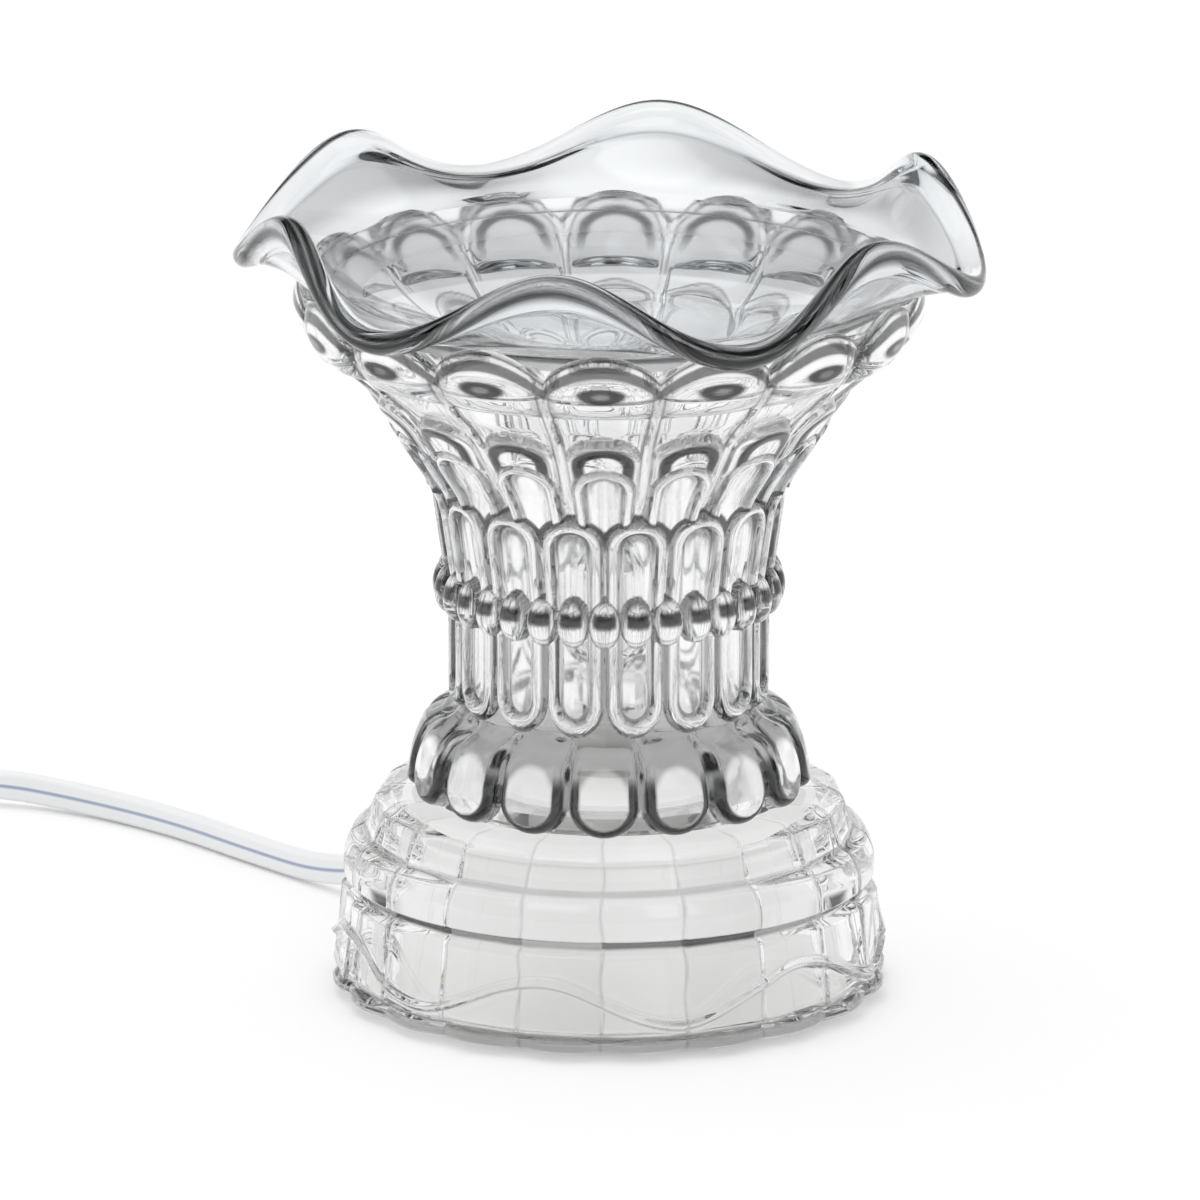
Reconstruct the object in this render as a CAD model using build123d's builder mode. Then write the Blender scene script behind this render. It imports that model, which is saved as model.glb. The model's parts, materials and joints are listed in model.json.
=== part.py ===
"""Wax melt warmer: a ruffled glass dish on a pressed petal shade, over a lamp in a clear stepped base.

Millimetres, +Z up. The origin is on the table, under the middle of the base, and the front faces -Y.
"""
import os
from math import cos, dist, pi, radians, sin, sqrt, tan

from build123d import *

os.makedirs("parts", exist_ok=True)

# Clearances
GLASS_GAP = 0.3          # between glass pieces that rest on each other
SLIDE_GAP = 0.4          # round a piece that lifts, turns or pulls out
FIT_GAP = 0.15           # round a piece that stays in its seat

# Clear stepped base
FOOT_HEIGHT = 1.3
FOOT_RADIUS = 4.5
FOOT_CIRCLE = 40.0
FOOT_COUNT = 4
FOOT_SIDES = 16
BASE_LIFT = 0.9          # underside of the glass above the table
FLANGE_RADIUS = 53.0
FLANGE_TOP = 4.4
GROOVE_DEPTH = 1.8
GROOVE_WIDTH = 1.2
LOWER_TIER_SIDES = 20
LOWER_TIER_FOOT_RADIUS = 52.8
LOWER_TIER_TOP_RADIUS = 51.2
LOWER_TIER_TOP = 21.6
RING_FOOT_RADIUS = 50.6
RING_TOP_RADIUS = 48.6
RING_TOP = 31.6
UPPER_TIER_SIDES = 20
UPPER_TIER_FOOT_RADIUS = 47.2
UPPER_TIER_TOP_RADIUS = 44.0
BASE_TOP = 39.3
BASE_WALL = 7.0
GROOVE_WALL = 4.6        # glass between the ring's groove and the hollow
BASE_TOP_THICKNESS = 5.3
BOSS_HEIGHT = 2.7        # ring on top of the base that keeps the shade in its place
SOCKET_HOLE_RADIUS = 21.5
RIDGE_WAVES = 6          # raised line that winds round the lower tier
RIDGE_TURN = 75.0        # degrees from +X to its first high point
RIDGE_HEIGHT = 10.8
RIDGE_SWING = 4.0
RIDGE_PROUD = 0.9
RIDGE_WIDTH = 2.4
RIDGE_SECTIONS = 48

# White liner, cover and their screws
COVER_THICKNESS = 2.5
COVER_STEP = 2.4         # how far the cover reaches under the glass
LINER_WALL = 1.2
LINER_GAP = 1.4
LINER_HOLE_RADIUS = 20.0
SCREW_RADIUS = 1.5
SCREW_HEAD_RADIUS = 2.8
SCREW_HEAD_HEIGHT = 1.2
COVER_SCREWS = 3
COVER_SCREW_CIRCLE = 32.0
COVER_SCREW_TURN = 70.0
COVER_SCREW_LENGTH = 9.0
POST_WALL = 1.6
FASTENER_SIDES = 8

# Lamp socket and its bracket, square to the way in of the cord
BRACKET_LENGTH = 56.0
BRACKET_WIDTH = 14.0
BRACKET_THICKNESS = 1.2
RIVET_SPACING = 48.0
RIVET_RADIUS = 1.6
RIVET_HEAD_RADIUS = 3.0
RIVET_HEAD_HEIGHT = 0.8
SOCKET_LENGTH = 24.0
SOCKET_WIDTH = 19.6
SOCKET_FLANGE_HEIGHT = 5.0
SOCKET_HEIGHT = 21.4
NECK_LENGTH = 17.0
NECK_WIDTH = 12.0
NECK_CORNER = 2.5
SOCKET_SCREW_SPACING = 10.0
SOCKET_SCREW_LENGTH = 4.6
HEAT_PLATE_RADIUS = 25.0
HEAT_PLATE_THICKNESS = 0.8

# Plug-in lamp capsule, pins in line with the bracket
PIN_SPACING = 9.0
PIN_RADIUS = 1.2
PIN_LENGTH = 10.0
PINCH_WIDTH = 13.4
PINCH_DEPTH = 4.8
PINCH_HEIGHT = 9.0
CAPSULE_RADIUS = 6.8
CAPSULE_HEIGHT = 27.0
CAPSULE_WALL = 0.9
CAPSULE_SIDES = 16
FILAMENT_RADIUS = 0.35
FILAMENT_WIDTH = 5.0
FILAMENT_HEIGHT = 15.0

# Pressed petal shade: heights above its own foot, radii of the wall between the petals
PETALS = 16
SHADE_WALL = 4.0
SHADE_FOOT_RADIUS = 35.2
ANKLE_HEIGHT = 9.4
ANKLE_RADIUS = 34.0
WAIST_FOOT = 17.4
WAIST_TOP = 37.4
WAIST_RADIUS = 28.0
SHOULDER_HEIGHT = 62.0
SHOULDER_RADIUS = 31.6
FLARE_HEIGHT = 79.0
FLARE_RADIUS = 43.0
CUP_RISE = 7.6           # from the flare up to the cup
CUP_RADIUS = 51.8
LIP_RISE = 6.0           # from the cup up to the lip
LIP_RADIUS = 56.6
SEAT_RISE = 4.8          # from the lip up to the ledge that the dish rests on
MOUTH_RADIUS = 52.6      # bore under the ledge
PETAL_COVER = 0.94       # share of the pitch that a petal fills
PETAL_FLANK = 0.42       # run of a petal's flank for each millimetre that it rises
FOOT_PETAL_ROOT = 17.0   # petals round the foot, tips down on the base
FOOT_PETAL_RELIEF = 3.0
LOW_ARCH_ROOT = 38.0     # arches that hang below the beads
LOW_ARCH_TIP = 17.4
HIGH_ARCH_ROOT = 43.0    # arches that stand above the beads
HIGH_ARCH_TIP = 61.4
ARCH_RELIEF = 2.6
COLLAR_PETAL_ROOT = 53.0
COLLAR_TIP_RISE = 2.4    # tips of the collar petals above the flare
COLLAR_PETAL_RELIEF = 2.8
CROWN_ROOT_DROP = 6.0    # roots of the crown petals below the flare
CROWN_TIP_RISE = 1.9     # tips of the crown petals above the ledge
CROWN_PETAL_RELIEF = 4.2
PETAL_SPRING = 0.62      # share of a petal's length below its arch
BEADS = 32
BEAD_SIDES = 6
BEAD_HEIGHT = 40.6
BEAD_RADIUS = 3.1
BEAD_LENGTH = 9.6
BEAD_CIRCLE = 30.6
FRONT_TURN = -1.5        # degrees that the petal in front is turned from the front

# Ruffled wax dish
RUFFLES = 6
RUFFLE_TURN = 21.0       # degrees from +X to the first crest
RIM_RADIUS = 67.0        # middle of the rim
RIM_HEIGHT = 11.3        # middle of the rim above the dish's seat
RUFFLE_RISE = 6.6        # crests rise and hollows drop by this
RUFFLE_REACH = 2.5       # crests draw in and hollows reach out by this
RUFFLE_SECTIONS = 72
DISH_WALL = 3.2
DISH_FLOOR_RADIUS = 25.0
DISH_FLOOR_THICKNESS = 3.0
DISH_DEPTH = 9.9         # from the seat down to the underside of the floor
DISH_SEAT_WIDTH = 4.2
SPIGOT_HEIGHT = 1.5
SHOULDER_RISE = 2.6      # plain wall above the seat, below the ruffle
SHOULDER_LEAN = 1.3

# Flat twin cord, its exit at the back left and its way along the table
CORD_WIDTH = 6.0
CORD_THICKNESS = 3.0
CORD_EXIT_TURN = 131.0   # degrees from +X to the exit
CORD_EXIT_HEIGHT = 11.6
CORD_EXIT_SLOPE = 15.0   # degrees below level
RELIEF_LENGTH = 20.0
RELIEF_RADIUS = 4.6
RELIEF_SHANK = 15.0
RELIEF_COLLAR_RADIUS = 6.6
RELIEF_COLLAR_THICKNESS = 2.0
SLEEVE_WALL = 1.1        # moulded sleeve round the cord where it ends
SLEEVE_SIDES = 12
CORD_LIE = 3.2           # middle of the cord above the table
CORD_FIRST_RUN = 11.0
CORE_RADIUS = 1.0
CORE_SPACING = 3.0
SPLICE_RADIUS = 1.7
SPLICE_LENGTH = 9.0
SPLICE_START = 3.0       # bare core before the first splice

# In-line switch with a thumbwheel
SWITCH_PLACE = (-177.0, 122.0)
SWITCH_LENGTH = 60.0
SWITCH_WIDTH = 26.0
SWITCH_CORNER = 8.0
SWITCH_LOWER_HEIGHT = 4.4  # the cord enters between the two shells
SWITCH_UPPER_HEIGHT = 10.0
SWITCH_WALL = 1.8
SWITCH_SCREW_SPACING = 46.0
SWITCH_SCREW_LENGTH = 9.0
SLEEVE_LENGTH = 10.0
SLEEVE_ROOT_RADIUS = 4.3
WHEEL_RADIUS = 11.5
WHEEL_THICKNESS = 5.6
WHEEL_NOTCHES = 20
WHEEL_NOTCH_RADIUS = 0.7
WHEEL_PROUD = 3.0
AXLE_RADIUS = 2.2
AXLE_SHOULDER_RADIUS = 4.0

# Cord put away: coil, tie and plug
COIL_RADIUS = 34.0       # middle of the turns
COIL_PITCH = 5.0
COIL_TURNS = 2           # in each of the two layers
COIL_LAYER = 6.6
COIL_TAIL = 26.0         # straight run out of the switch
COIL_LEAD = 14.0         # straight run into the plug
TIE_THICKNESS = 0.9
TIE_WIDTH = 8.0
PLUG_RELIEF_LENGTH = 18.0
PLUG_LENGTH = 25.0
PLUG_WIDTH = 25.0
PLUG_CORNER = 5.0
BLADE_WIDTH = 6.35
BLADE_THICKNESS = 1.5
BLADE_LENGTH = 17.0
BLADE_SPACING = 12.7
BLADE_HOLE_RADIUS = 1.6

# Levels and radii that follow from the sizes above
COVER_TOP = FOOT_HEIGHT + COVER_THICKNESS
CEILING = BASE_TOP - BASE_TOP_THICKNESS
CAVITY_FOOT_RADIUS = RING_FOOT_RADIUS - GROOVE_DEPTH - GROOVE_WALL
CAVITY_TOP_RADIUS = UPPER_TIER_TOP_RADIUS - BASE_WALL + LINER_GAP
REBATE_RADIUS = CAVITY_FOOT_RADIUS + COVER_STEP
BRACKET_TOP = CEILING - LINER_WALL
SOCKET_TOP = BRACKET_TOP + SOCKET_HEIGHT
LAMP_FOOT = SOCKET_TOP + GLASS_GAP
SHADE_FOOT = BASE_TOP + GLASS_GAP
BRACKET_TURN = CORD_EXIT_TURN - 90
COIL_LIE = SWITCH_LOWER_HEIGHT
CUP_HEIGHT = FLARE_HEIGHT + CUP_RISE
LIP_HEIGHT = CUP_HEIGHT + LIP_RISE
SEAT_HEIGHT = LIP_HEIGHT + SEAT_RISE
DISH_SEAT = SHADE_FOOT + SEAT_HEIGHT + GLASS_GAP
SPIGOT_RADIUS = MOUTH_RADIUS - SLIDE_GAP
DISH_SEAT_RADIUS = SPIGOT_RADIUS + DISH_SEAT_WIDTH
PITCH = 360 / PETALS


def radial_plane(turn):
    """Upright plane through the axis: its x runs outward at this many degrees from +X, its y is up."""
    out = Vector(cos(radians(turn)), sin(radians(turn)), 0)
    return Plane((0, 0, 0), x_dir=out, z_dir=out.cross(Vector(0, 0, 1)))


def finish_piece(piece, name):
    """Names a finished piece and writes it."""
    piece.label = name
    export_step(piece, f"parts/{name}.step")


def level_ring(radius, sides, turn, level):
    """Corners of a level regular polygon, the first one at this many degrees from +X."""
    angles = [radians(turn + 360 * side / sides) for side in range(sides)]
    return [Vector(radius * cos(angle), radius * sin(angle), level) for angle in angles]


def faceted_solid(outlines):
    """Solid with flat sides through level outlines that have the same number of corners."""
    sides = [Face(Wire.make_polygon(outlines[0])), Face(Wire.make_polygon(outlines[-1]))]
    for low, high in zip(outlines, outlines[1:]):
        for corner in range(len(low)):
            panel = [low[corner - 1], low[corner], high[corner], high[corner - 1]]
            sides.append(Face(Wire.make_polygon(panel)))
    return Solid(Shell(sides))


def wound_ring(outlines):
    """Solid with three-cornered sides through outlines that stand one after another round the axis."""
    sides = []
    for index, outline in enumerate(outlines):
        before = outlines[index - 1]
        for corner in range(len(outline)):
            sides.append(Face(Wire.make_polygon([before[corner - 1], before[corner], outline[corner]])))
            sides.append(Face(Wire.make_polygon([before[corner - 1], outline[corner], outline[corner - 1]])))
    return Solid(Shell(sides))


def oval_outline(half_width, half_height):
    """Corners of a many-sided oval for the sleeves round the cord."""
    angles = [2 * pi * (side + 0.5) / SLEEVE_SIDES for side in range(SLEEVE_SIDES)]
    return [(half_width * cos(angle), half_height * sin(angle)) for angle in angles]


# Where the cord leaves the base
exit_out = Vector(
    cos(radians(CORD_EXIT_TURN)) * cos(radians(CORD_EXIT_SLOPE)),
    sin(radians(CORD_EXIT_TURN)) * cos(radians(CORD_EXIT_SLOPE)),
    -sin(radians(CORD_EXIT_SLOPE)),
)
exit_side = Vector(-sin(radians(CORD_EXIT_TURN)), cos(radians(CORD_EXIT_TURN)), 0)
exit_point = Vector(
    LOWER_TIER_FOOT_RADIUS * cos(radians(CORD_EXIT_TURN)),
    LOWER_TIER_FOOT_RADIUS * sin(radians(CORD_EXIT_TURN)),
    CORD_EXIT_HEIGHT,
)
exit_plane = Plane(exit_point, x_dir=exit_side, z_dir=exit_out)
collar_seat = exit_plane.offset(-RELIEF_COLLAR_THICKNESS / 2)

# Pressed petal shade
stations = (
    (0, SHADE_FOOT_RADIUS),
    (ANKLE_HEIGHT, ANKLE_RADIUS),
    (WAIST_FOOT, WAIST_RADIUS),
    (WAIST_TOP, WAIST_RADIUS),
    (SHOULDER_HEIGHT, SHOULDER_RADIUS),
    (FLARE_HEIGHT, FLARE_RADIUS),
    (CUP_HEIGHT, CUP_RADIUS),
    (LIP_HEIGHT, LIP_RADIUS),
    (SEAT_HEIGHT, LIP_RADIUS),
)


def wall_radius(height):
    """Radius of the shade's outer wall at a height above its foot."""
    for (low, low_radius), (high, high_radius) in zip(stations, stations[1:]):
        if height <= high:
            return low_radius + (high_radius - low_radius) * (height - low) / (high - low)
    return stations[-1][1]


def petal(root, tip, relief):
    """One raised petal at the front of the shade: it swells from its root and is arched near its tip."""
    arch_length = 1 - PETAL_SPRING
    shares = (0, PETAL_SPRING, 1 - arch_length * 0.4, 1)
    outlines = []
    for share in shares:
        height = root + (tip - root) * share
        front = wall_radius(height) + relief * sin(pi * (0.1 + 0.76 * share))
        back = wall_radius(height) - SHADE_WALL / 2
        arch = 0.96 * max(share - PETAL_SPRING, 0) / arch_length
        half = front * tan(radians(PITCH / 2)) * PETAL_COVER * sqrt(1 - arch * arch)
        crest = half - PETAL_FLANK * (front - back)
        corners = ((-half, -back), (-crest, -front), (crest, -front), (half, -back))
        outlines.append([Vector(x, y, SHADE_FOOT + height) for x, y in corners])
    return faceted_solid(outlines)


foot_petal = petal(FOOT_PETAL_ROOT, 0, FOOT_PETAL_RELIEF)
low_arch = petal(LOW_ARCH_ROOT, LOW_ARCH_TIP, ARCH_RELIEF)
high_arch = petal(HIGH_ARCH_ROOT, HIGH_ARCH_TIP, ARCH_RELIEF)
collar_petal = petal(COLLAR_PETAL_ROOT, FLARE_HEIGHT + COLLAR_TIP_RISE, COLLAR_PETAL_RELIEF)
crown_petal = petal(FLARE_HEIGHT - CROWN_ROOT_DROP, SEAT_HEIGHT + CROWN_TIP_RISE, CROWN_PETAL_RELIEF)

bead_shape = ((-0.5, 0.4), (-0.22, 1), (0.22, 1), (0.5, 0.4))
bead = faceted_solid(
    [level_ring(BEAD_RADIUS * width, BEAD_SIDES, 0, BEAD_LENGTH * share) for share, width in bead_shape]
)
shade_wall = faceted_solid(
    [level_ring(radius, PETALS, FRONT_TURN + PITCH / 2, SHADE_FOOT + height) for height, radius in stations]
)
shade_bore = faceted_solid(
    [
        level_ring(radius - SHADE_WALL, PETALS, FRONT_TURN + PITCH / 2, SHADE_FOOT + height)
        for height, radius in stations[:-2]
    ]
)

with BuildPart() as glass_shade:
    add(shade_wall)
    for start_turn, raised_petal in (
        (FRONT_TURN, foot_petal),
        (FRONT_TURN, collar_petal),
        (FRONT_TURN, crown_petal),
        (FRONT_TURN + PITCH / 2, low_arch),
        (FRONT_TURN + PITCH / 2, high_arch),
    ):
        with PolarLocations(0, PETALS, start_angle=start_turn):
            add(raised_petal)
    with Locations((0, 0, SHADE_FOOT + BEAD_HEIGHT)):
        with PolarLocations(BEAD_CIRCLE, BEADS, start_angle=FRONT_TURN):
            add(bead)
    # Bore, mouth, ledge and pocket for the dish
    add(shade_bore, mode=Mode.SUBTRACT)
    with BuildSketch(Plane.XZ):
        with BuildLine():
            pocket_radius = DISH_SEAT_RADIUS + SLIDE_GAP
            Polyline(
                (0, SHADE_FOOT + CUP_HEIGHT),
                (CUP_RADIUS - SHADE_WALL, SHADE_FOOT + CUP_HEIGHT),
                (MOUTH_RADIUS, SHADE_FOOT + LIP_HEIGHT),
                (MOUTH_RADIUS, SHADE_FOOT + SEAT_HEIGHT),
                (pocket_radius, SHADE_FOOT + SEAT_HEIGHT),
                (pocket_radius + SHOULDER_LEAN, SHADE_FOOT + SEAT_HEIGHT + SHOULDER_RISE),
                (0, SHADE_FOOT + SEAT_HEIGHT + SHOULDER_RISE),
                close=True,
            )
        make_face()
    revolve(axis=Axis.Z, mode=Mode.SUBTRACT)

finish_piece(glass_shade.part, "glass_shade")

# Ruffled wax dish: a plain bowl with a seat under it, and a rim drawn into waves
shoulder_out = Vector(SHOULDER_LEAN, SHOULDER_RISE).normalized()
shoulder_in = Vector(-shoulder_out.Y, shoulder_out.X)
shoulder_outer = Vector(DISH_SEAT_RADIUS + SHOULDER_LEAN, DISH_SEAT + SHOULDER_RISE)
shoulder_inner = shoulder_outer + shoulder_in * (DISH_WALL + 2 * FIT_GAP)
shoulder_middle = (shoulder_outer + shoulder_inner) * 0.5


def ruffle_outline(turn):
    """Outline of the rim on the upright plane at this many degrees, from its root in the bowl to its edge."""
    wave = cos(radians(RUFFLES * (turn - RUFFLE_TURN)))
    root = shoulder_middle - shoulder_out * (DISH_WALL / 3)
    rim = Vector(RIM_RADIUS, DISH_SEAT + RIM_HEIGHT)
    sway = Vector(-RUFFLE_REACH, RUFFLE_RISE) * wave
    middle = [root]
    for share, swing in ((0.3, 0.18), (0.65, 0.56), (1, 1)):
        middle.append(shoulder_middle + (rim - shoulder_middle) * share + sway * swing)
    top = []
    under = []
    for index, point in enumerate(middle):
        along = (middle[min(index + 1, 3)] - middle[max(index - 1, 0)]).normalized()
        across = shoulder_in if index == 0 else Vector(-along.Y, along.X)
        top.append(point + across * (DISH_WALL / 2))
        under.append(point - across * (DISH_WALL / 2))
    edge = middle[3] + (middle[3] - middle[2]).normalized() * (DISH_WALL / 2)
    turned = radial_plane(turn)
    return [turned.from_local_coords(point) for point in (*top, edge, *reversed(under))]


ruffle_turns = [RUFFLE_TURN + 360 * section / RUFFLE_SECTIONS for section in range(RUFFLE_SECTIONS)]
ruffled_rim = wound_ring([ruffle_outline(turn) for turn in ruffle_turns])

with BuildPart() as wax_dish:
    with BuildSketch(Plane.XZ):
        with BuildLine():
            Polyline(
                (0, DISH_SEAT - DISH_DEPTH),
                (DISH_FLOOR_RADIUS, DISH_SEAT - DISH_DEPTH),
                (SPIGOT_RADIUS, DISH_SEAT - SPIGOT_HEIGHT),
                (SPIGOT_RADIUS, DISH_SEAT),
                (DISH_SEAT_RADIUS, DISH_SEAT),
                (shoulder_outer.X, shoulder_outer.Y),
                (shoulder_inner.X, shoulder_inner.Y),
                (DISH_FLOOR_RADIUS, DISH_SEAT - DISH_DEPTH + DISH_FLOOR_THICKNESS),
                (0, DISH_SEAT - DISH_DEPTH + DISH_FLOOR_THICKNESS),
                close=True,
            )
        make_face()
    revolve(axis=Axis.Z)
    add(ruffled_rim)

finish_piece(wax_dish.part, "wax_dish")

# Clear base: two faceted tiers with a smooth ring between them, hollow from below
shade_flat = cos(pi / PETALS)  # inside of the shade's flat sides as a share of its corners
boss_radius = (wall_radius(BOSS_HEIGHT) - SHADE_WALL) * shade_flat - SLIDE_GAP
lower_tier = faceted_solid(
    [
        level_ring(LOWER_TIER_FOOT_RADIUS, LOWER_TIER_SIDES, FRONT_TURN, FLANGE_TOP),
        level_ring(LOWER_TIER_TOP_RADIUS, LOWER_TIER_SIDES, FRONT_TURN, LOWER_TIER_TOP),
    ]
)
upper_tier = faceted_solid(
    [
        level_ring(UPPER_TIER_FOOT_RADIUS, UPPER_TIER_SIDES, FRONT_TURN, RING_TOP - GROOVE_WIDTH),
        level_ring(UPPER_TIER_TOP_RADIUS, UPPER_TIER_SIDES, FRONT_TURN, BASE_TOP),
    ]
)


def winding_outline(turn):
    """Outline of the raised line on the upright plane at this many degrees."""
    level = RIDGE_HEIGHT + RIDGE_SWING * cos(radians(RIDGE_WAVES * (turn - RIDGE_TURN)))
    narrow_radius = min(LOWER_TIER_FOOT_RADIUS, LOWER_TIER_TOP_RADIUS)
    root = narrow_radius * cos(pi / LOWER_TIER_SIDES) - RIDGE_WIDTH
    crest = LOWER_TIER_FOOT_RADIUS + RIDGE_PROUD - GROOVE_WIDTH / 2
    corners = (Vector(root, level - RIDGE_WIDTH), Vector(crest, level), Vector(root, level + RIDGE_WIDTH))
    turned = radial_plane(turn)
    return [turned.from_local_coords(corner) for corner in corners]


ridge_turns = [RIDGE_TURN + 360 * section / RIDGE_SECTIONS for section in range(RIDGE_SECTIONS)]
winding_line = wound_ring([winding_outline(turn) for turn in ridge_turns])

with BuildPart() as base_shell:
    with BuildSketch(Plane.XZ):
        with BuildLine():
            Polyline(
                (0, BASE_LIFT),
                (FLANGE_RADIUS - GROOVE_WIDTH, BASE_LIFT),
                (FLANGE_RADIUS, BASE_LIFT + GROOVE_WIDTH),
                (FLANGE_RADIUS, FLANGE_TOP - GROOVE_WIDTH),
                (FLANGE_RADIUS - GROOVE_DEPTH, FLANGE_TOP),
                (RING_FOOT_RADIUS - GROOVE_DEPTH, FLANGE_TOP + GROOVE_WIDTH),
                (RING_FOOT_RADIUS - GROOVE_DEPTH, LOWER_TIER_TOP + GROOVE_WIDTH),
                (RING_FOOT_RADIUS, LOWER_TIER_TOP + GROOVE_WIDTH),
                (RING_TOP_RADIUS, RING_TOP),
                (UPPER_TIER_TOP_RADIUS - GROOVE_DEPTH, RING_TOP),
                (UPPER_TIER_TOP_RADIUS - GROOVE_DEPTH, BASE_TOP),
                (boss_radius, BASE_TOP),
                (boss_radius, BASE_TOP + BOSS_HEIGHT),
                (0, BASE_TOP + BOSS_HEIGHT),
                close=True,
            )
        make_face()
    revolve(axis=Axis.Z)
    add(lower_tier)
    add(upper_tier)
    add(winding_line)
    # Hollow, rebate for the cover and hole for the socket
    with BuildSketch(Plane.XZ):
        with BuildLine():
            Polyline(
                (0, 0),
                (REBATE_RADIUS, 0),
                (REBATE_RADIUS, COVER_TOP),
                (CAVITY_FOOT_RADIUS, COVER_TOP),
                (CAVITY_TOP_RADIUS, CEILING),
                (SOCKET_HOLE_RADIUS, CEILING),
                (SOCKET_HOLE_RADIUS, BASE_TOP + 2 * BOSS_HEIGHT),
                (0, BASE_TOP + 2 * BOSS_HEIGHT),
                close=True,
            )
        make_face()
    revolve(axis=Axis.Z, mode=Mode.SUBTRACT)
    # Hole and flat seat for the strain relief
    with BuildSketch(exit_plane):
        Circle(RELIEF_RADIUS + FIT_GAP)
    extrude(amount=RELIEF_SHANK, both=True, mode=Mode.SUBTRACT)
    with BuildSketch(collar_seat):
        Circle(RELIEF_COLLAR_RADIUS + FIT_GAP)
    extrude(amount=RELIEF_SHANK, mode=Mode.SUBTRACT)

finish_piece(base_shell.part, "base_shell")

# White liner with screw posts, hanging between the cover and the top of the base
post_radius = SCREW_RADIUS + POST_WALL

liner_foot_radius = CAVITY_FOOT_RADIUS - LINER_GAP
liner_top_radius = CAVITY_TOP_RADIUS - LINER_GAP

liner_outside = faceted_solid(
    [
        level_ring(liner_foot_radius, LOWER_TIER_SIDES, FRONT_TURN, COVER_TOP),
        level_ring(liner_top_radius, LOWER_TIER_SIDES, FRONT_TURN, CEILING),
    ]
)
liner_inside = faceted_solid(
    [
        level_ring(liner_foot_radius - LINER_WALL, LOWER_TIER_SIDES, FRONT_TURN, COVER_TOP),
        level_ring(liner_top_radius - LINER_WALL, LOWER_TIER_SIDES, FRONT_TURN, CEILING - LINER_WALL),
    ]
)

with BuildPart() as wiring_liner:
    add(liner_outside)
    add(liner_inside, mode=Mode.SUBTRACT)
    with BuildSketch(Plane.XY.offset(COVER_TOP)):
        with PolarLocations(COVER_SCREW_CIRCLE, COVER_SCREWS, start_angle=COVER_SCREW_TURN):
            RegularPolygon(post_radius, FASTENER_SIDES)
    extrude(amount=CEILING - COVER_TOP - LINER_WALL / 2)
    with BuildSketch(Plane.XY.offset(COVER_TOP)):
        with PolarLocations(COVER_SCREW_CIRCLE, COVER_SCREWS, start_angle=COVER_SCREW_TURN):
            RegularPolygon(SCREW_RADIUS + FIT_GAP, FASTENER_SIDES)
    extrude(amount=COVER_SCREW_LENGTH, mode=Mode.SUBTRACT)
    with BuildSketch(Plane.XY.offset(CEILING - LINER_WALL)):
        Circle(LINER_HOLE_RADIUS)
        with Locations(Rotation(0, 0, BRACKET_TURN)):
            with GridLocations(RIVET_SPACING, 0, 2, 1):
                RegularPolygon(RIVET_RADIUS + FIT_GAP, FASTENER_SIDES)
    extrude(amount=LINER_WALL, mode=Mode.SUBTRACT)
    with BuildSketch(exit_plane):
        Circle(RELIEF_RADIUS + FIT_GAP)
    extrude(amount=-RELIEF_SHANK - LINER_WALL, mode=Mode.SUBTRACT)

finish_piece(wiring_liner.part, "wiring_liner")

# Bottom cover, its screws and the rubber feet
with BuildPart() as bottom_cover:
    with BuildSketch(Plane.XY.offset(FOOT_HEIGHT)):
        Circle(REBATE_RADIUS - FIT_GAP)
        with PolarLocations(COVER_SCREW_CIRCLE, COVER_SCREWS, start_angle=COVER_SCREW_TURN):
            RegularPolygon(SCREW_RADIUS + FIT_GAP, FASTENER_SIDES, mode=Mode.SUBTRACT)
    extrude(amount=COVER_THICKNESS)
    with BuildSketch(Plane.XY.offset(FOOT_HEIGHT)):
        with PolarLocations(COVER_SCREW_CIRCLE, COVER_SCREWS, start_angle=COVER_SCREW_TURN):
            RegularPolygon(SCREW_HEAD_RADIUS + FIT_GAP, FASTENER_SIDES)
    extrude(amount=SCREW_HEAD_HEIGHT, mode=Mode.SUBTRACT)

finish_piece(bottom_cover.part, "bottom_cover")

with BuildPart() as cover_screws:
    with BuildSketch(Plane.XY.offset(FOOT_HEIGHT)):
        with PolarLocations(COVER_SCREW_CIRCLE, COVER_SCREWS, start_angle=COVER_SCREW_TURN):
            RegularPolygon(SCREW_HEAD_RADIUS, FASTENER_SIDES)
    extrude(amount=SCREW_HEAD_HEIGHT)
    with BuildSketch(Plane.XY.offset(FOOT_HEIGHT + SCREW_HEAD_HEIGHT)):
        with PolarLocations(COVER_SCREW_CIRCLE, COVER_SCREWS, start_angle=COVER_SCREW_TURN):
            RegularPolygon(SCREW_RADIUS, FASTENER_SIDES)
    extrude(amount=COVER_SCREW_LENGTH)

finish_piece(cover_screws.part, "cover_screws")

with BuildPart() as feet:
    with BuildSketch():
        with PolarLocations(FOOT_CIRCLE, FOOT_COUNT):
            RegularPolygon(FOOT_RADIUS, FOOT_SIDES)
    extrude(amount=FOOT_HEIGHT)

finish_piece(feet.part, "feet")

# Steel strip that carries the lamp socket, with its rivets and screws
bracket_plane = Plane((0, 0, BRACKET_TOP - BRACKET_THICKNESS)).rotated((0, 0, BRACKET_TURN))
socket_plane = Plane((0, 0, BRACKET_TOP)).rotated((0, 0, BRACKET_TURN))

with BuildPart() as socket_bracket:
    with BuildSketch(bracket_plane):
        Rectangle(BRACKET_LENGTH, BRACKET_WIDTH)
        with GridLocations(RIVET_SPACING, 0, 2, 1):
            RegularPolygon(RIVET_RADIUS + FIT_GAP, FASTENER_SIDES, mode=Mode.SUBTRACT)
        with GridLocations(SOCKET_SCREW_SPACING, 0, 2, 1):
            RegularPolygon(SCREW_RADIUS + FIT_GAP, FASTENER_SIDES, mode=Mode.SUBTRACT)
    extrude(amount=BRACKET_THICKNESS)

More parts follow.
